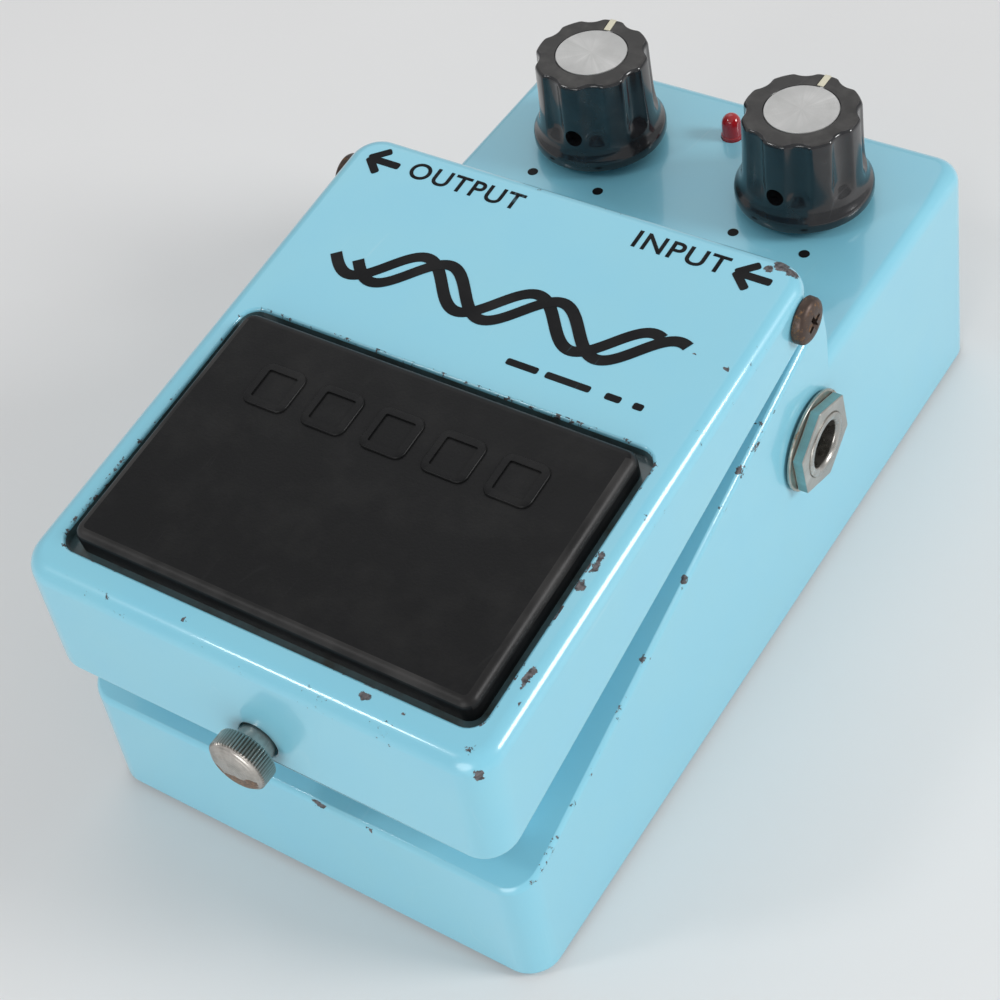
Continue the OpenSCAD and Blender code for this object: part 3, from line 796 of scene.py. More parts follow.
caseLook = {
    "hair": 0.012 * mm, "corner": 4.2 * mm, "draft": 1.5, "deckHeight": 36.5 * mm,
    "ledgeFront": 18.8 * mm, "ledgeRise": 0.326,
    "deckRound": 2.6 * mm, "ledgeShare": 0.42, "humpShare": 0.3, "roundSteps": 5,
    "colour": (0.225, 0.585, 0.735), "colourWarm": (0.24, 0.6, 0.735),
    "filmColour": (0.22, 0.5, 0.6), "film": 0.12, "roughness": 0.3, "coat": 0.7, "coatRoughness": 0.07,
    "scratches": 0.25, "scratchColour": (0.55, 0.75, 0.82), "tear": 0.0019, "tearScale": 1000.0,
    "wearScale": 980.0,
    "bareDark": (0.035, 0.031, 0.034), "bareLight": (0.15, 0.14, 0.145),
}
caseSpots = [
    ((4.2, -62.4, 18.6), (1.1, 0.7, 0.5)), ((12.0, -62.6, 18.5), (0.5, 0.4, 0.35)),
    ((33.6, -20.4, 32.4), (0.45, 0.7, 0.7)),
    ((33.4, -5.4, 37.4), (0.4, 0.9, 0.6)), ((33.6, -31.0, 29.0), (0.35, 0.5, 0.5)),
    ((33.2, 1.0, 39.4), (0.4, 0.4, 0.5)),
]


# the case's outer form with every edge rounded, a hair larger than the frame's case
def makeCaseLimit():
    hair, side, foot = caseLook["hair"], caseHigh.x, caseLow.z
    ledgeTop = lambda y: caseLook["ledgeFront"] + (y + 63 * mm) * caseLook["ledgeRise"] + hair
    deck = caseLook["deckHeight"] + hair
    made = roundBlock("caseLimit", (-side - hair, caseLow.y - hair, foot - 2 * mm),
        (side + hair, caseHigh.y + hair, 60 * mm),
        caseLook["corner"], math.radians(caseLook["draft"]))
    bar = crossBar("caseOutline", [
        (-80 * mm, -5 * mm), (-80 * mm, ledgeTop(-80 * mm)), (12.4 * mm - hair, ledgeTop(12.4 * mm)),
        (12.4 * mm - hair, 45.6 * mm + hair),
        (17.3 * mm, 45.6 * mm + hair), (18.8 * mm + hair, 44.1 * mm), (18.8 * mm + hair, deck),
        (80 * mm, deck), (80 * mm, -5 * mm)], -50 * mm, 50 * mm)
    combine(made, bar, "INTERSECT")
    edge = lambda m: abs(m.x) > 33 * mm
    roundByRules(made, caseLook["deckRound"], caseLook["roundSteps"], [
        (1.0, lambda m, up, low: up.z > 0.97 and abs(low.z) < 0.25 and abs(m.z - deck) < 0.3 * mm
            and (edge(m) or m.y > 60 * mm)),
        (caseLook["ledgeShare"], lambda m, up, low: up.z > 0.9 and abs(low.z) < 0.25 and m.z < 44 * mm
            and (edge(m) or m.y < -60 * mm)),
        (caseLook["humpShare"], lambda m, up, low: m.z > 37 * mm and m.y > 12 * mm and m.y < 19.5 * mm),
    ])
    combine(made, boxAt("platformRoom", (-32.4 * mm, -58.5 * mm, 4 * mm),
        (32.4 * mm, 12.2 * mm, 60 * mm)), "UNION")
    for side in (-1, 1):
        combine(made, boxAt("earRoom", (side * 29.5 * mm - 3 * mm, 5 * mm, 41 * mm),
            (side * 29.5 * mm + 2.9 * mm, 17 * mm, 61 * mm)), "UNION")
    return made


def makeCase():
    made = nodeCopy("caseShell", "housing")
    combine(made, makeCaseLimit(), "INTERSECT")
    outer = lambda m: abs(m.x) > 32 * mm or abs(m.y) > 60 * mm
    markFaces(made, "rim", [
        (0.0, lambda m, n: m.z < 1.6 * mm or not 0.1 < n.z < 0.94),
        (0.15, lambda m, n: m.y > 19 * mm),
        (0.4, lambda m, n: m.y < -60 * mm and m.z > 17 * mm),
        (0.8, lambda m, n: outer(m) and m.z > 17 * mm),
    ])
    smooth(made, 30)
    finished(made, "case", enamel("caseEnamel", caseLook, caseSpots), ("housing",))


makeCase()
print("case made")


# treadle

treadleLook = {
    **caseLook, "topRound": 2.2 * mm, "recessRound": 0.45 * mm, "lipRound": 0.7 * mm, "frontLean": 0.0299,
    # near-black colour of the recess walls: painted shade with some brown grime
    "recessShadeGrimeColour": (0.03, 0.024, 0.01),
    "recessPlace": -38.7 * mm, "recessDepth": 1.8 * mm, "scratches": 0.3, "film": 0.1,
}
treadleSpots = [
    ((30.4, 13.4, 55.1), (1.3, 0.9, 1.0)), ((32.0, 12.9, 54.9), (1.3, 0.8, 1.2)),
    ((29.2, 12.2, 54.9), (0.7, 0.5, 0.5)),
    ((33.2, 9.4, 53.8), (0.35, 0.35, 0.6)), ((31.8, -3.9, 53.2), (0.55, 0.35, 0.5)),
    ((27.2, -3.4, 53.4), (0.45, 0.25, 0.4)),
    ((31.7, -34.6, 49.9), (0.55, 1.5, 0.7)), ((31.5, -38.2, 49.5), (0.6, 0.8, 0.7)),
    ((32.3, -51.0, 48.1), (0.55, 1.6, 0.9)),
    ((33.0, -54.2, 47.4), (0.35, 0.6, 0.7)), ((16.7, -60.8, 47.1), (0.85, 0.6, 0.5)),
    ((31.2, -61.4, 46.9), (0.4, 0.7, 0.5)),
    ((32.9, -62.8, 45.0), (0.5, 0.5, 0.9)), ((31.0, -19.9, 51.5), (0.6, 0.3, 0.4)),
    ((24.5, -18.8, 51.6), (0.8, 0.25, 0.4)),
    ((9.6, -18.3, 51.7), (0.9, 0.4, 0.4)), ((-9.0, -61.6, 47.0), (0.35, 0.3, 0.4)),
    ((22.0, -61.2, 47.1), (0.4, 0.2, 0.4)),
]


def makeTreadle():
    half, front, back, low = treadleHigh.x, treadleLow.y, treadleHigh.y, treadleLow.z
    top = lambda y: (y, treadleTop(y))
    beyond = 9 * mm
    made = boxAt("treadleShell", (-half, front - 0.25 * mm, 20 * mm), (half, back, 80 * mm))
    selectFaces(made, lambda m, n: n.z > 0.9)
    bpy.ops.transform.resize(value=(1, 1 - treadleLook["frontLean"] * 60 * mm / (back - front), 1),
        center_override=(0, back, 0))
    bpy.ops.object.mode_set(mode="OBJECT")
    bevelChosen(made, lambda a, b: abs(a.z - b.z) > 30 * mm, 4.5 * mm, 9)
    rise = crossBar("treadleRise", [
        (-90 * mm, 5 * mm), (90 * mm, 5 * mm), top(90 * mm), top(-90 * mm)], -half - beyond, half + beyond)
    combine(made, rise, "INTERSECT")
    flush = lambda v: abs(v.z - treadleTop(v.y)) < 0.02 * mm
    bevelChosen(made, lambda a, b: flush(a) and flush(b), treadleLook["topRound"], 6)
    sides = crossBar("treadleSide", [
        (front - beyond, low - beyond * underRise), (9.3 * mm, 45.7 * mm), (back - 1.75 * mm, 46.6 * mm),
        (back + 2 * mm, 50.4 * mm),
        (back + 2 * mm, 90 * mm), (front - beyond, 90 * mm)], -half - beyond, half + beyond)
    combine(made, sides, "INTERSECT")
    wall = 2.5 * mm
    hollow = crossBar("hollow", [
        (front + wall, 10 * mm), (40 * mm, 10 * mm), (40 * mm, 52 * mm), (12.8 * mm, 52 * mm),
        (12.8 * mm, treadleTop(12.8 * mm) - 2 * mm), (-2 * mm, treadleTop(-2 * mm) - 2 * mm),
        (-2 * mm, treadleTop(-2 * mm) - 3.6 * mm), (front + wall, treadleTop(front + wall) - 3.6 * mm)],
        -half + wall, half - wall)
    bevelChosen(hollow, lambda a, b: abs(a.x - b.x) < 1e-6 and abs(a.z - b.z) > 3 * mm
        and max(a.y, b.y) < -60 * mm, 2.2 * mm, 5)
    combine(made, hollow, "DIFFERENCE")
    under = lambda v: v.z < 28.5 * mm + (v.y - front) * underRise + 1.0 * mm
    bevelChosen(made, lambda a, b: under(a) and under(b) and max(a.y, b.y) < 13.3 * mm,
        treadleLook["lipRound"], 3)
    recess = boxAt("recess", (-30.8 * mm, -20.7 * mm, 0), (30.8 * mm, 20.7 * mm, 20 * mm))
    bevelChosen(recess, lambda a, b: abs(a.z - b.z) > 3 * mm, 2.4 * mm, 6)
    layOnTreadle(recess, 0, treadleLook["recessPlace"], -treadleLook["recessDepth"] / math.cos(slope))
    deselectAll()
    bpy.ops.mesh.primitive_cylinder_add(vertices=32, radius=1.56 * mm, depth=90 * mm,
        location=hingePlace, rotation=(0, pi / 2, 0))
    pin = named("pinHole")
    deselectAll()
    bpy.ops.mesh.primitive_cylinder_add(vertices=40, radius=2.8 * mm, depth=12 * mm,
        location=(0, -64 * mm, thumbHeight), rotation=(pi / 2, 0, 0))
    screw = named("screwHole")
    for cutter in (pin, screw):
        applyPlace(cutter)
    for cutter in (recess, pin, screw):
        combine(made, cutter, "DIFFERENCE")
    inRecess = lambda m: abs(m.x) < 31.5 * mm and -60.6 * mm < m.y < -16.5 * mm
    roundByRules(made, treadleLook["recessRound"], 3, [
        (1.0, lambda m, up, low: up.z > 0.98 and abs(m.z - treadleTop(m.y)) < 0.1 * mm and inRecess(m)),
        (0.8, lambda m, up, low: m.y < -63 * mm and abs(m.x) < 3.2 * mm
            and abs(m.z - thumbHeight) < 3.2 * mm),
    ])
    markFaces(made, "rim", [
        (0.95, lambda m, n: inRecess(m) and m.z > treadleTop(m.y) - 0.6 * mm and n.z < 0.985),
        (0.6, lambda m, n: m.z > treadleTop(m.y) - 2.3 * mm and 0.12 < n.z < 0.96),
        (0.4, lambda m, n: under(m) and -0.9 < n.z < -0.1),
    ])
    # the recess floor and walls round the pad are marked for near-black paint: painted shade in the narrow
    # gap, with some brown grime
    markFaces(made, "dirt", [
        (1.0, lambda m, n: inRecess(m) and treadleTop(m.y) - 2.2 * mm < m.z < treadleTop(m.y) - 0.5 * mm),
    ])
    smooth(made, 30)
    finished(made, "pedal", enamel("treadleEnamel", treadleLook, treadleSpots),
        ("pedal_plate",))


makeTreadle()
print("treadle made")


# grip pad with its raised block pattern

padLook = {
    "length": 58.8 * mm, "width": 38.6 * mm, "thick": 3.4 * mm, "corner": 1.8 * mm, "slant": 1.3 * mm,
    "blocks": (-18, -9, 0, 9, 18), "blockSize": 6.6 * mm, "blockRise": 0.32 * mm,
    "colour": (0.006, 0.006, 0.0065), "roughness": 0.4, "grain": 2600.0, "bump": 0.3, "dust": 0.02,
    "dustScale": 140.0, "scratches": 0.12, "scratchColour": (0.05, 0.05, 0.05), "specular": 0.2,
    # lighter colour for the pad's slanted rim: painted sheen
    "edgeSheenColour": (0.05, 0.048, 0.047),
}


def makePad():
    long, wide, thick = padLook["length"] / 2, padLook["width"] / 2, padLook["thick"]
    made = boxAt("gripPad", (-long, -wide, 0), (long, wide, thick))
    bevelChosen(made, lambda a, b: abs(a.z - b.z) > 1 * mm, padLook["corner"], 5)
    bevelChosen(made, lambda a, b: min(a.z, b.z) > thick - 1e-6, padLook["slant"], 3)
    parts = [made]
    for place in padLook["blocks"]:
        size = padLook["blockSize"] / 2
        block = boxAt("block", (place * mm - size, 9.5 * mm - size, thick - 0.3 * mm),
            (place * mm + size, 9.5 * mm + size, thick + padLook["blockRise"]))
        bevelChosen(block, lambda a, b: abs(a.z - b.z) > 0.1 * mm, 1.3 * mm, 4)
        bevelChosen(block, lambda a, b: min(a.z, b.z) > thick + 0.2 * mm, 0.22 * mm, 3)
        selectFaces(block, lambda m, n: n.z > 0.99)
        bpy.ops.mesh.inset(thickness=0.85 * mm)
        bpy.ops.mesh.extrude_region_move(TRANSFORM_OT_translate={"value": (0, 0, -0.24 * mm)})
        bpy.ops.object.mode_set(mode="OBJECT")
        parts.append(block)
    made = joinAll("gripPad", parts)
    layOnTreadle(made, 0, treadleLook["recessPlace"], -treadleLook["recessDepth"] / math.cos(slope))
    edge = wide - padLook["slant"] * 1.1
    # the pad's slanted rim is marked for the lighter painted sheen
    markFaces(made, "rim", [
        (0.75, lambda m, n: 0.2 < n.z < 0.97 and (abs(m.x) > long - 1.5 * mm
            or abs(m.y - treadleLook["recessPlace"]) > edge)),
    ])
    smooth(made, 40)
    finished(made, "pedal", moulded("padRubber", padLook), ("pedal_pad",))


makePad()
print("grip pad made")


# printed marks: wave ribbons, dashes, arrows, socket names and knob dots

printLook = {
    "lift": 0.01 * mm, "film": 0.03 * mm, "colour": (0.006, 0.006, 0.007), "roughness": 0.5,
    "specular": 0.15,
    "grain": 1500.0, "dust": 0.03, "scratches": 0.35, "scratchColour": (0.2, 0.4, 0.48), "bump": 0.1,
    "waveStart": -25.0, "waveEnd": 26.0, "waveLength": 17.0, "waveRise": 3.2, "waveStroke": 1.6,
    "wavePlace": -5.6,
    "waveStep": 3.6,
}


def thicken(obj, thick):
    activate(obj)
    bpy.ops.object.mode_set(mode="EDIT")
    bpy.ops.mesh.select_all(action="SELECT")
    bpy.ops.mesh.extrude_region_move(TRANSFORM_OT_translate={"value": (0, 0, thick)})
    bpy.ops.mesh.select_all(action="SELECT")
    bpy.ops.mesh.normals_make_consistent(inside=False)
    bpy.ops.object.mode_set(mode="OBJECT")


def waveRibbon(name, shift):
    deselectAll()
    bpy.ops.mesh.primitive_grid_add(x_subdivisions=120, y_subdivisions=1, size=1)
    made = named(name)
    start, end, half = printLook["waveStart"] + max(shift, 0), printLook["waveEnd"] + min(shift
        - printLook["waveStep"], 0), printLook["waveStroke"] / 2
    for v in made.data.vertices:
        along = start + (v.co.x + 0.5) * (end - start)
        turn = 2 * pi * (along - shift) / printLook["waveLength"]
        rise = printLook["waveRise"] * math.sin(turn)
        lean = printLook["waveRise"] * 2 * pi / printLook["waveLength"] * math.cos(turn)
        side = half if v.co.y > 0 else -half
        fall = math.hypot(1, lean)
        v.co = ((along - side * lean / fall) * mm, (rise + side / fall) * mm, 0)
    thicken(made, printLook["film"])
    return made


def inkBar(centre, length, wide, angle=0.0):
    deselectAll()
    bpy.ops.mesh.primitive_plane_add(size=1)
    made = named("inkBar")
    made.scale = (length, wide, 1)
    applyPlace(made)
    activate(made)
    bpy.ops.object.mode_set(mode="EDIT")
    bpy.ops.mesh.select_all(action="SELECT")
    bpy.ops.mesh.bevel(offset=wide * 0.3, segments=4, affect="VERTICES")
    bpy.ops.object.mode_set(mode="OBJECT")
    made.rotation_euler = (0, 0, angle)
    made.location = (centre[0], centre[1], 0)
    applyPlace(made)
    thicken(made, printLook["film"])
    return made


def arrow(name):
    reach, wide = 3.3 * mm, 1.15 * mm
    tip = inkBar((0.0, 0.0), 4.9 * mm, wide)
    upper = inkBar((-1.35 * mm, 1.05 * mm), reach, wide, math.radians(42))
    lower = inkBar((-1.35 * mm, -1.05 * mm), reach, wide, math.radians(-42))
    for place, part in enumerate((tip, upper, lower)):
        part.location.z = place * 0.003 * mm
        applyPlace(part)
    return joinAll(name, [tip, upper, lower])


def socketName(name, word, wide, tall):
    deselectAll()
    bpy.ops.object.text_add()
    made = bpy.context.object
    made.data.body = word
    made.data.size = 5 * mm
    made.data.offset = 0.07 * mm
    made.data.space_character = 1.12
    bpy.ops.object.convert(target="MESH")
    made = named(name)
    places = [v.co for v in made.data.vertices]
    low = [min(p[i] for p in places) for i in range(2)]
    high = [max(p[i] for p in places) for i in range(2)]
    for v in made.data.vertices:
        v.co = ((v.co.x - (low[0] + high[0]) / 2) * wide / (high[0] - low[0]),
            (v.co.y - (low[1] + high[1]) / 2) * tall / (high[1] - low[1]), 0)
    activate(made)
    bpy.ops.object.mode_set(mode="EDIT")
    bpy.ops.mesh.select_all(action="SELECT")
    bpy.ops.mesh.remove_doubles(threshold=0.000001)
    bpy.ops.object.mode_set(mode="OBJECT")
    thicken(made, printLook["film"])
    return made


def makePrint():
    ink = moulded("printInk", printLook)
    marks = []
    for place, shift in enumerate((0.0, printLook["waveStep"])):
        ribbon = waveRibbon(f"waveRibbon{place + 1}", shift)
        ribbon.location.z = place * 0.02 * mm
        applyPlace(ribbon)
        marks.append((ribbon, 0, printLook["wavePlace"]))
    dashes = [inkBar((at * mm, 0), long * mm, 1.0 * mm) for at,
        long in ((8.4, 4.6), (15.0, 6.4), (21.4, 2.2), (24.9, 1.4))]
    marks.append((joinAll("dashRow", dashes), 0, -13.2))
    marks.append((arrow("outputArrow"), -28.1, 10.2))
    marks.append((arrow("inputArrow"), 28.2, 10.2))
    marks.append((socketName("outputName", "OUTPUT", 17.8 * mm, 2.9 * mm), -15.0, 10.5))
    marks.append((socketName("inputName", "INPUT", 13.3 * mm, 2.9 * mm), 17.7, 10.6))
    for made, x, y in marks:
        layOnTreadle(made, x * mm, y * mm, printLook["lift"])
        finished(made, "pedal", ink)
    deckTop = caseLook["deckHeight"]
    deselectAll()
    bpy.ops.mesh.primitive_cylinder_add(vertices=24, radius=0.78 * mm, depth=0.06 * mm,
        location=(0, 0, deckTop + 0.02 * mm))
    first = named("deckDot1")
    applyPlace(first)
    bevelChosen(first, lambda a, b: min(a.z, b.z) > deckTop, 0.02 * mm, 2)
    for place, (x, y) in enumerate(((-22.1, 34.6), (-11.0, 34.6), (11.1, 34.6), (22.15, 34.6))):
        dot = meshCopy(first, f"knobDot{place + 1}", move=(x * mm, y * mm, 0))
        finished(dot, "case", ink)
    bpy.data.objects.remove(first)


makePrint()
print("printed marks made")


# knobs: fluted body on a flared skirt, turned cap, pointer line and set screw

knobLook = {
    "flutes": 8, "fluteAway": 10.95 * mm, "fluteRound": 3.3 * mm, "crest": 0.2 * mm, "sides": 192,
    "capRound": 5.2 * mm, "topRound": 8.3 * mm,
    "grubHeight": 43 * mm,
    "colour": (0.012, 0.012, 0.014), "roughness": 0.16, "grain": 1800.0, "bump": 0.12, "dust": 0.05,
    "dustScale": 300.0, "scratches": 0.2, "scratchColour": (0.12, 0.12, 0.13), "specular": 0.5,
    "coat": 0.25,
}
knobTopLook = {**knobLook, "colour": (0.03, 0.028, 0.027), "roughness": 0.5, "coat": 0.0, "dust": 0.12,
    "bump": 0.4}
knobTurn = {"left": math.radians(7), "right": 0.0}
knobAxis = {side: Vector(((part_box("knob_cap_" + side)[0].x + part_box("knob_cap_" + side)[1].x) / 2,
    (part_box("knob_cap_" + side)[0].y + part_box("knob_cap_" + side)[1].y) / 2, 0)) for side in ("left",
    "right")}
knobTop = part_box("knob_cap_left")[1].z


# the flutes cut into the body and fade out as they come down to the skirt
def knobShape(angle, height, radius):
    step = 2 * pi / knobLook["flutes"]
    away = (angle - step / 2) % step
    away = min(away, step - away)
    across = knobLook["fluteAway"] * math.sin(away)
    if radius < 6.8 * mm or height < 40.3 * mm or across >= knobLook["fluteRound"]:
        return radius
    flute = knobLook["fluteAway"] * math.cos(away) - math.sqrt(knobLook["fluteRound"] ** 2 - across ** 2)
    foot = max(0.0, 43.6 * mm - height)
    flute += foot * foot / (2.4 * mm)
    if height > knobTop - 0.5 * mm:
        flute -= (knobLook["topRound"] - radius) * 0.8
    blend = max(0.0, 1 - abs(flute - radius) / knobLook["crest"])
    return min(flute, radius) - blend * blend * knobLook["crest"] / 4


def makeKnobBody():
    top = knobTop - 0.1 * mm
    rings = [(41.4, 3.3), (41.4, 6.6), (38.0, 6.6), (38.0, 9.5), (38.1, 9.7), (38.35, 9.8), (39.2, 9.8),
        (39.5, 9.74), (39.8, 9.55),
        (40.2, 9.25), (40.7, 9.0), (41.3, 8.82), (42.0, 8.7), (43.0, 8.6), (44.2, 8.54), (47.0, 8.42)]
    rings = [(h * mm, r * mm) for h, r in rings]
    rings += [(top - 0.65 * mm, knobLook["topRound"]), (top - 0.35 * mm, 8.24 * mm),
        (top - 0.12 * mm, 8.07 * mm), (top, 7.82 * mm),
        (top, 5.36 * mm), (top - 0.06 * mm, 5.3 * mm), (top - 0.4 * mm, 5.28 * mm)]
    made = turned("knobBody", rings, knobLook["sides"], knobShape)
    deselectAll()
    bpy.ops.mesh.primitive_cylinder_add(vertices=32, radius=1.3 * mm, depth=6 * mm,
        location=(0, -8.9 * mm, knobLook["grubHeight"]), rotation=(pi / 2, 0, 0))
    hole = named("hole")
    applyPlace(hole)
    upper = boxAt("upper", (-0.57 * mm, 5.45 * mm, top - 0.5 * mm), (0.57 * mm, 9 * mm, top + 1 * mm))
    side = boxAt("side", (-0.57 * mm, 7.4 * mm, 44.2 * mm), (0.57 * mm, 9.5 * mm, top - 0.3 * mm))
    for cutter in (hole, side, upper):
        combine(made, cutter, "DIFFERENCE")
    return made


def makeKnobCap():
    base, top, wide = knobTop - 0.5 * mm, knobTop, knobLook["capRound"]
    rings = [(base, wide - 0.2 * mm), (base, wide), (top - 0.16 * mm, wide),
        (top - 0.05 * mm, wide - 0.05 * mm), (top, wide - 0.16 * mm), (top - 0.02 * mm, 0.5 * mm)]
    return turned("knobCap", rings, 96)


def makePointer():
    top = knobTop - 0.05 * mm
    upper = boxAt("pointerTop", (-0.5 * mm, 5.5 * mm, top - 0.45 * mm), (0.5 * mm, 8.1 * mm, top))
    side = boxAt("pointerSide", (-0.5 * mm, 7.5 * mm, 44.3 * mm), (0.5 * mm, 8.2 * mm, top - 0.3 * mm))
    for part in (upper, side):
        roundEdges(part, 0.12 * mm, 3)
    return joinAll("pointerLine", [upper, side])


def makeSetScrew():
    made = turned("grubScrew", [(-6.2 * mm, 1.2 * mm), (-6.2 * mm, 1.3 * mm), (-6.05 * mm, 1.42 * mm),
        (-3.1 * mm, 1.42 * mm), (-3.1 * mm, 0.6 * mm)], 32)
    made.rotation_euler = (-pi / 2, 0, 0)
    made.location = (0, 0, knobLook["grubHeight"])
    applyPlace(made)
    slot = boxAt("slot", (-1.6 * mm, -6.6 * mm, 42.75 * mm), (1.6 * mm, -5.5 * mm, 43.25 * mm))
    combine(made, slot, "DIFFERENCE")
    return made


def makeKnobs():
    body, cap, pointer, grub = makeKnobBody(), makeKnobCap(), makePointer(), makeSetScrew()
    plastic, matt = moulded("knobPlastic", knobLook), moulded("knobTopPlastic", knobTopLook)
    cream = moulded("pointerCream", {"colour": (0.72, 0.68, 0.52), "roughness": 0.45, "dust": 0.2,
        "dustScale": 500.0})
    for side in ("left", "right"):
        axis = knobAxis[side]
        turn = (0, 0, knobTurn[side])
        on = "control_" + side
        piece = finished(meshCopy(body, "knobBody_" + side, turn, axis), on, plastic,
            ("knob_" + side,))
        piece.data.materials.append(matt)
        for face in piece.data.polygons:
            if face.normal.z > 0.9 and face.center.z > knobTop - 0.3 * mm:
                face.material_index = 1
        smooth(piece, 35)
        # the cap's darker radial streaks are a painted sheen
        spun = plated("capSpun_" + side, {
            "colour": (0.66, 0.655, 0.645), "sheenStreakColour": (0.5, 0.5, 0.49), "metallic": 0.75,
            "roughness": 0.42,
            "centre": axis, "across": (1, 1, 0), "pitch": 0.22 * mm, "ringDepth": 0.5, "film": 0.08,
            "scratches": 0.25, "bump": 0.3})
        piece = finished(meshCopy(cap, "knobCap_" + side, turn, axis), on, spun,
            ("knob_cap_" + side,))
        smooth(piece, 35)
        piece = finished(meshCopy(pointer, "pointerLine_" + side, turn, axis), on, cream,
            ("pointer_" + side,))
        smooth(piece, 35)
        dark = plated("grubSteel_" + side, {"colour": (0.1, 0.09, 0.085), "roughness": 0.45, "film": 0.4,
            "rust": 0.3})
        piece = finished(meshCopy(grub, "grubScrew_" + side, turn, axis), on, dark,
            ("set_screw_" + side,))
        smooth(piece, 35)
    for spare in (body, cap, pointer, grub):
        bpy.data.objects.remove(spare)


makeKnobs()
print("knobs made")


# hinge screws: thick domed heads with a cross recess

hingeLook = {
    "headRound": 3.15 * mm, "headRise": 1.75 * mm, "colour": (0.1, 0.072, 0.06), "roughness": 0.42,
    "metallic": 0.85,
    "film": 0.5, "filmScale": 700.0, "filmColour": (0.045, 0.03, 0.025), "rust": 0.5, "rustScale": 900.0,
    "bump": 0.6, "scratches": 0.5,
}


def makeHingeScrews():
    seat = treadleHigh.x + 0.1 * mm
    wide, rise = hingeLook["headRound"], hingeLook["headRise"]
    rings = [(27 * mm, 1.2 * mm), (27.3 * mm, 1.5 * mm), (seat, 1.5 * mm), (seat, wide - 0.1 * mm),
        (seat + 0.1 * mm, wide),
        (seat + rise * 0.55, wide - 0.03 * mm), (seat + rise * 0.72, wide - 0.2 * mm),
        (seat + rise * 0.86, wide - 0.55 * mm),
        (seat + rise * 0.95, wide - 1.05 * mm), (seat + rise, wide - 1.7 * mm), (seat + rise, 0.4 * mm)]
    made = turned("hingeScrew", rings, 72)
    face = seat + rise
    for angle in (0, 90):
        cross = boxAt("cross", (-0.42 * mm, -1.75 * mm, face - 1.15 * mm),
            (0.42 * mm, 1.75 * mm, face + 0.5 * mm))
        selectFaces(cross, lambda m, n: n.z < -0.9)
        bpy.ops.transform.resize(value=(0.6, 0.35, 1))
        bpy.ops.object.mode_set(mode="OBJECT")
        cross.rotation_euler = (0, 0, math.radians(angle + 25))
        applyPlace(cross)
        combine(made, cross, "DIFFERENCE")
    metal = plated("hingeSteel", hingeLook)
    for place, turn in (("Right", pi / 2), ("Left", -pi / 2)):
        piece = meshCopy(made, "hingeScrew" + place, (0, turn, 0), hingePlace)
        smooth(piece, 35)
        finished(piece, "pedal_pivot", metal, ("hinge_screws",))
    bpy.data.objects.remove(made)


makeHingeScrews()
print("hinge screws made")


# signal jacks: turned sleeve, chamfered nut and flat washer

jackLook = {
    "sleeve": {"colour": (0.62, 0.6, 0.56), "roughness": 0.26, "film": 0.3, "filmScale": 500.0,
        "filmColour": (0.1, 0.085, 0.06), "scratches": 0.3, "pitch": 0.5 * mm},
    "nut": {"colour": (0.62, 0.6, 0.56), "roughness": 0.3, "film": 0.25, "filmScale": 350.0,
        "filmColour": (0.3, 0.29, 0.26), "scratches": 0.5, "bump": 0.3},
    # the nut's hex flats are teal: a painted reflection of the blue case wall
    "nutSide": {"colour": (0.2, 0.42, 0.44), "metallic": 0.15, "roughness": 0.55, "film": 0.55,
        "filmScale": 600.0, "filmColour": (0.12, 0.25, 0.26), "rust": 0.12, "bump": 0.6},
    "washer": {"colour": (0.58, 0.56, 0.5), "roughness": 0.32, "film": 0.45, "filmScale": 420.0,
        "filmColour": (0.16, 0.1, 0.05), "rust": 0.35, "rustScale": 420.0, "bump": 0.4},
}


def makeJacks():
    low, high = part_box("input_jack_sleeve")
    axis = Vector((0, (low.y + high.y) / 2, (low.z + high.z) / 2))
    end, start, bore = high.x, low.x, 3.25 * mm
    profile = [(start, 3.3), (start, 5.6), (31 * mm, 5.6), (31 * mm, 4.6), (end - 0.2 * mm, 4.6),
        (end - 0.05 * mm, 4.52), (end, 4.4),
        (end, 3.75), (end - 0.06 * mm, 3.62), (end - 0.25 * mm, 3.4), (end - 0.55 * mm, 3.25),
        (start, 3.25), (start, 3.3)]
    sleeve = turned("sleeve", [(h, r * mm) for h, r in profile], 96)
    metals = {key: plated("jack" + key.capitalize(), {**look, "centre": axis, "across": (0, 1, 1)})
        for key, look in jackLook.items()}
    for side, turn in (("input", pi / 2), ("output", -pi / 2)):
        piece = meshCopy(sleeve, side + "JackSleeve", (0, turn, 0), axis)
        smooth(piece, 35)
        finished(piece, "case", metals["sleeve"], (side + "_jack_sleeve",))
        nut = roundedNode(side + "_jack_nut", metals["nut"], 0.2 * mm, 3)
        # the hex flats take the teal material: painted reflection of the blue case
        nut.data.materials.append(metals["nutSide"])
        for face in nut.data.polygons:
            if abs(face.normal.x) < 0.3 and (face.center - axis
                - Vector((face.center.x, 0, 0))).length > 5.4 * mm:
                face.material_index = 1
        roundedNode(side + "_jack_washer", metals["washer"], 0.13 * mm, 3)
        roundedNode(side + "_jack_body", insidePlastic, 0.25 * mm)
        roundedNode(side + "_jack_contacts", springMetal, 0.08 * mm)
    bpy.data.objects.remove(sleeve)


insidePlastic = moulded("insidePlastic", {"colour": (0.02, 0.02, 0.021), "roughness": 0.4, "dust": 0.15,
    "scratches": 0.1})
springMetal = plated("springMetal", {"colour": (0.5, 0.49, 0.46), "roughness": 0.3, "film": 0.15,
    "scratches": 0.3})
makeJacks()
print("jacks made")


# thumbscrew: knurled head with a domed, stained face

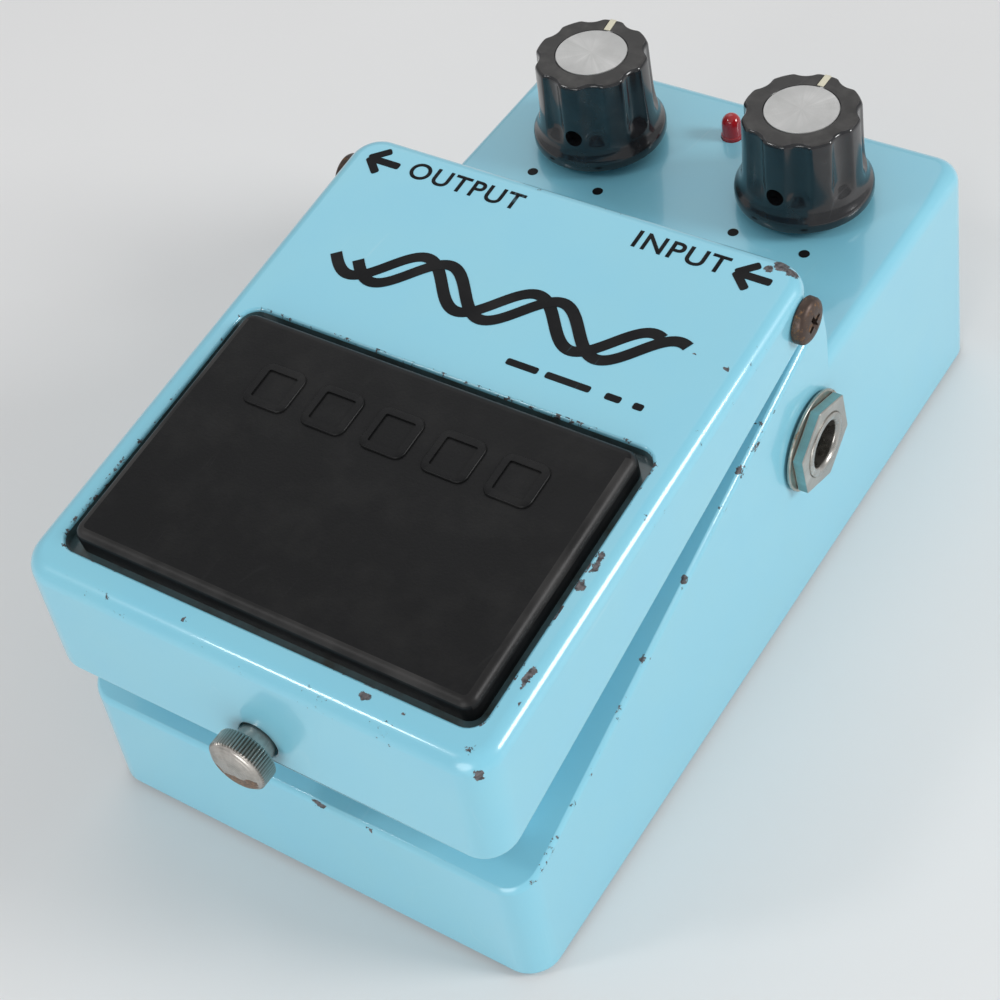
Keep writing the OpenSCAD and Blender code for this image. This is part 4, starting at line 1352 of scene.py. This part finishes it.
thumbLook = {
    "headRound": 4.1 * mm, "ridges": 56, "ridgeDepth": 0.26 * mm,
    "colour": (0.6, 0.57, 0.53), "roughness": 0.3, "film": 0.45, "filmScale": 600.0,
    "filmColour": (0.11, 0.1, 0.075),
    # grooves: how dark the knurl grooves are painted, as shade
    "rust": 0.22, "rustScale": 800.0, "grooveShade": 0.85,
    "rustAt": [((0.6, -69.4, 30.2), (2.7, 1.3, 1.3)), ((-2.7, -69.3, 30.9), (1.0, 1.0, 0.9)),
        ((2.4, -69.2, 31.2), (0.9, 1.0, 0.8))],
    "scratches": 0.5, "pitch": 0.42 * mm, "ringDepth": 1.0, "bump": 0.5,
}


def makeThumbscrew():
    low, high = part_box("thumbscrew")
    axis = Vector((0, 0, (low.z + high.z) / 2))
    front, wide = low.y, thumbLook["headRound"]
    back = front + 3.4 * mm
    rings = [(front, 0.3), (front + 0.03 * mm, 1.2), (front + 0.12 * mm, 2.2), (front + 0.28 * mm, 3.0),
        (front + 0.5 * mm, 3.5), (front + 0.75 * mm, 3.85),
        (front + 0.95 * mm, 4.1), (front + 1.05 * mm, 4.101), (back - 0.25 * mm, 4.101),
        (back - 0.1 * mm, 4.0), (back, 3.7), (back, 2.6), (-63.7 * mm, 2.6),
        (-63.6 * mm, 2.5), (-63.6 * mm, 2.0), (-62.1 * mm, 2.0), (-61.95 * mm, 1.5), (-61.25 * mm, 1.5),
        (-61.1 * mm, 2.0), (-57.0 * mm, 2.0), (high.y, 1.4)]
    rings = [(h, r * mm) for h, r in rings]

    def knurl(angle, height, radius):
        if radius < 4.0 * mm:
            return radius
        return radius - round(angle * thumbLook["ridges"] / pi) % 2 * thumbLook["ridgeDepth"]

    made = turned("thumbscrewHead", rings, thumbLook["ridges"] * 2, knurl)
    made.rotation_euler = (-pi / 2, 0, 0)
    made.location = axis
    applyPlace(made)
    # the depth into each knurl groove is kept for the painted shade in the grooves
    grooveShade = made.data.attributes.new("groove", "FLOAT", "CORNER")
    for corner in made.data.loops:
        place = made.data.vertices[corner.vertex_index].co - axis
        depth = (wide - math.hypot(place.x, place.z)) / thumbLook["ridgeDepth"]
        inKnurl = front + 0.9 * mm < place.y < back - 0.2 * mm
        grooveShade.data[corner.index].value = min(max(depth, 0.0), 1.0) if inKnurl else 0.0
    smooth(made, 28, False)
    finished(made, "thumb_head", plated("thumbNickel", {**thumbLook, "centre": axis,
        "across": (1, 0, 1)}), ("thumbscrew",))
    roundedNode("thumbscrew_clip", springMetal, 0.1 * mm)


makeThumbscrew()
print("thumbscrew made")


# check lamp, power socket, base, spring and everything under the treadle and inside

lampLook = {"wide": 1.55 * mm, "colour": (0.42, 0.006, 0.012)}


def makeLamp():
    low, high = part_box("led_lens")
    centre = Vector(((low.x + high.x) / 2, (low.y + high.y) / 2, 0))
    wide, top = lampLook["wide"], high.z
    rings = [(low.z, wide * 0.9), (low.z + 0.2 * mm, wide), (37.0 * mm, wide), (37.05 * mm, wide * 0.93),
        (top - wide, wide * 0.92)]
    for step in range(1, 9):
        lift = step / 8 * pi / 2 * 0.96
        rings.append((top - wide + wide * math.sin(lift), wide * 0.92 * math.cos(lift)))
    made = turned("lampLens", rings, 48)
    made.location = centre
    applyPlace(made)
    smooth(made, 30)
    glass, tree, shader, place = newMaterial("lampRed")
    grain = useGroup(tree, surfaceGrain, {"Vector": place, "Scale": 1500.0})
    tree.links.new(blendColour(tree, ramp(tree, grain["Tone"], 0.3, 0.7), lampLook["colour"],
        (0.55, 0.012, 0.02)), shader.inputs["Base Color"])
    shader.inputs["Roughness"].default_value = 0.12
    shader.inputs["Transmission Weight"].default_value = 0.25
    shader.inputs["Coat Weight"].default_value = 0.6
    bumpInto(tree, shader, grain["Height"], 0.1, 0.0001)
    finished(made, "case", glass, ("led_lens",))


def makeSpring():
    low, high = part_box("pedal_spring")
    centre = Vector(((low.x + high.x) / 2, (low.y + high.y) / 2, 0))
    wire = 0.55 * mm
    deselectAll()
    bpy.ops.mesh.primitive_circle_add(vertices=12, radius=wire, location=(5.4 * mm, 0, 0),
        rotation=(pi / 2, 0, 0))
    made = named("treadleSpring")
    applyPlace(made)
    coil = made.modifiers.new("coil", "SCREW")
    coil.axis = "Z"
    coil.angle = 2 * pi
    coil.iterations = 5
    coil.screw_offset = (high.z - low.z - 2.2 * wire) / 5
    coil.steps = coil.render_steps = 48
    coil.use_merge_vertices = True
    coil.merge_threshold = 0.000001
    applyModifier(made, coil)
    activate(made)
    bpy.ops.object.mode_set(mode="EDIT")
    bpy.ops.mesh.select_all(action="DESELECT")
    bpy.ops.mesh.select_mode(type="EDGE")
    bpy.ops.mesh.select_non_manifold()
    bpy.ops.mesh.edge_face_add()
    bpy.ops.mesh.select_all(action="SELECT")
    bpy.ops.mesh.normals_make_consistent(inside=False)
    bpy.ops.object.mode_set(mode="OBJECT")
    made.location = (centre.x, centre.y, low.z + 1.1 * wire)
    applyPlace(made)
    smooth(made, 50, False)
    finished(made, "pedal_pivot", springMetal, ("pedal_spring",))
    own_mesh(made)


makeLamp()
makeSpring()
zinc = plated("zincPlate", {"colour": (0.55, 0.55, 0.52), "roughness": 0.38, "film": 0.25,
    "filmScale": 160.0, "scratches": 0.4, "scratchScale": 60.0})
nickelNut = plated("nickelNut", {"colour": (0.6, 0.58, 0.54), "roughness": 0.28, "film": 0.2,
    "scratches": 0.3})
rubber = moulded("baseRubber", {"colour": (0.02, 0.02, 0.021), "roughness": 0.72, "dust": 0.3,
    "dustScale": 90.0, "scratches": 0.15, "bump": 0.8, "specular": 0.3})
nylon = moulded("naturalNylon", {"colour": (0.72, 0.7, 0.62), "roughness": 0.42, "dust": 0.15,
    "dustColour": (0.4, 0.37, 0.3)})
glossBlack = moulded("socketPlastic", {"colour": (0.015, 0.015, 0.016), "roughness": 0.28, "dust": 0.1,
    "scratches": 0.2})
laminate = moulded("boardLaminate", {"colour": (0.07, 0.2, 0.09), "roughness": 0.35, "dust": 0.1,
    "grain": 1400.0, "coat": 0.3})
epoxy = moulded("chipEpoxy", {"colour": (0.022, 0.022, 0.024), "roughness": 0.55, "grain": 3500.0,
    "bump": 0.6})
caseFoil = plated("batteryFoil", {"colour": (0.14, 0.14, 0.15), "metallic": 0.6, "roughness": 0.35,
    "film": 0.1, "scratches": 0.5})
finishes = {
    "bottom_plate": (zinc, 0.25), "bottom_rubber": (rubber, 0.3), "bottom_screws": (zinc, 0.2),
    "hinge_bushings": (nylon, 0.1),
    "guide_bush": (nylon, 0.2), "spring_seat": (rubber, 0.2), "pedal_bumpers": (rubber, 0.25),
    "footswitch_body": (glossBlack, 0.25),
    "footswitch_nut": (nickelNut, 0.2), "circuit_board": (laminate, 0.1), "board_screws": (zinc, 0.15),
    "insulating_sheet": (moulded("boardFilm", {"colour": (0.6, 0.58, 0.5), "roughness": 0.45,
        "dust": 0.15}), 0.05),
    "integrated_circuits": (epoxy, 0.12),
    "electrolytic_capacitors": (moulded("capacitorSleeve", {"colour": (0.03, 0.06, 0.2),
        "roughness": 0.25, "coat": 0.3}), 0.3),
    "film_capacitors": (moulded("capacitorFilm", {"colour": (0.33, 0.11, 0.04), "roughness": 0.25,
        "coat": 0.4}), 0.5),
    "resistors": (moulded("resistorBody", {"colour": (0.6, 0.44, 0.26), "roughness": 0.4}), 0.08),
    "trimmers": (moulded("trimmerBlue", {"colour": (0.04, 0.12, 0.45), "roughness": 0.35}), 0.15),
    "battery": (caseFoil, 1.2), "battery_snap": (glossBlack, 0.4),
    "battery_leads": (moulded("wireJacket", {"colour": (0.5, 0.02, 0.02), "roughness": 0.4, "dust": 0.1}),
        0.1),
    "battery_pad": (moulded("foamPad", {"colour": (0.05, 0.05, 0.055), "roughness": 0.9, "grain": 900.0,
        "bump": 1.0, "specular": 0.15}), 0.3),
    "dc_jack_body": (glossBlack, 0.3), "dc_jack_pin": (nickelNut, 0.1), "dc_jack_nut": (nickelNut, 0.25),
    "pot_left_body": (zinc, 0.2), "pot_right_body": (zinc, 0.2), "pot_nuts": (nickelNut, 0.2),
    "pot_washers": (nickelNut, 0.1),
    "led_holder": (rubber, 0.15), "pot_shaft_left": (zinc, 0.2), "pot_shaft_right": (zinc, 0.2),
    "footswitch_plunger": (moulded("plungerRed", {"colour": (0.5, 0.03, 0.025), "roughness": 0.3,
        "dust": 0.1}), 0.2),
}
for node, (material, width) in finishes.items():
    roundedNode(node, material, width * mm)
print("lamp, spring, base and inner parts made")
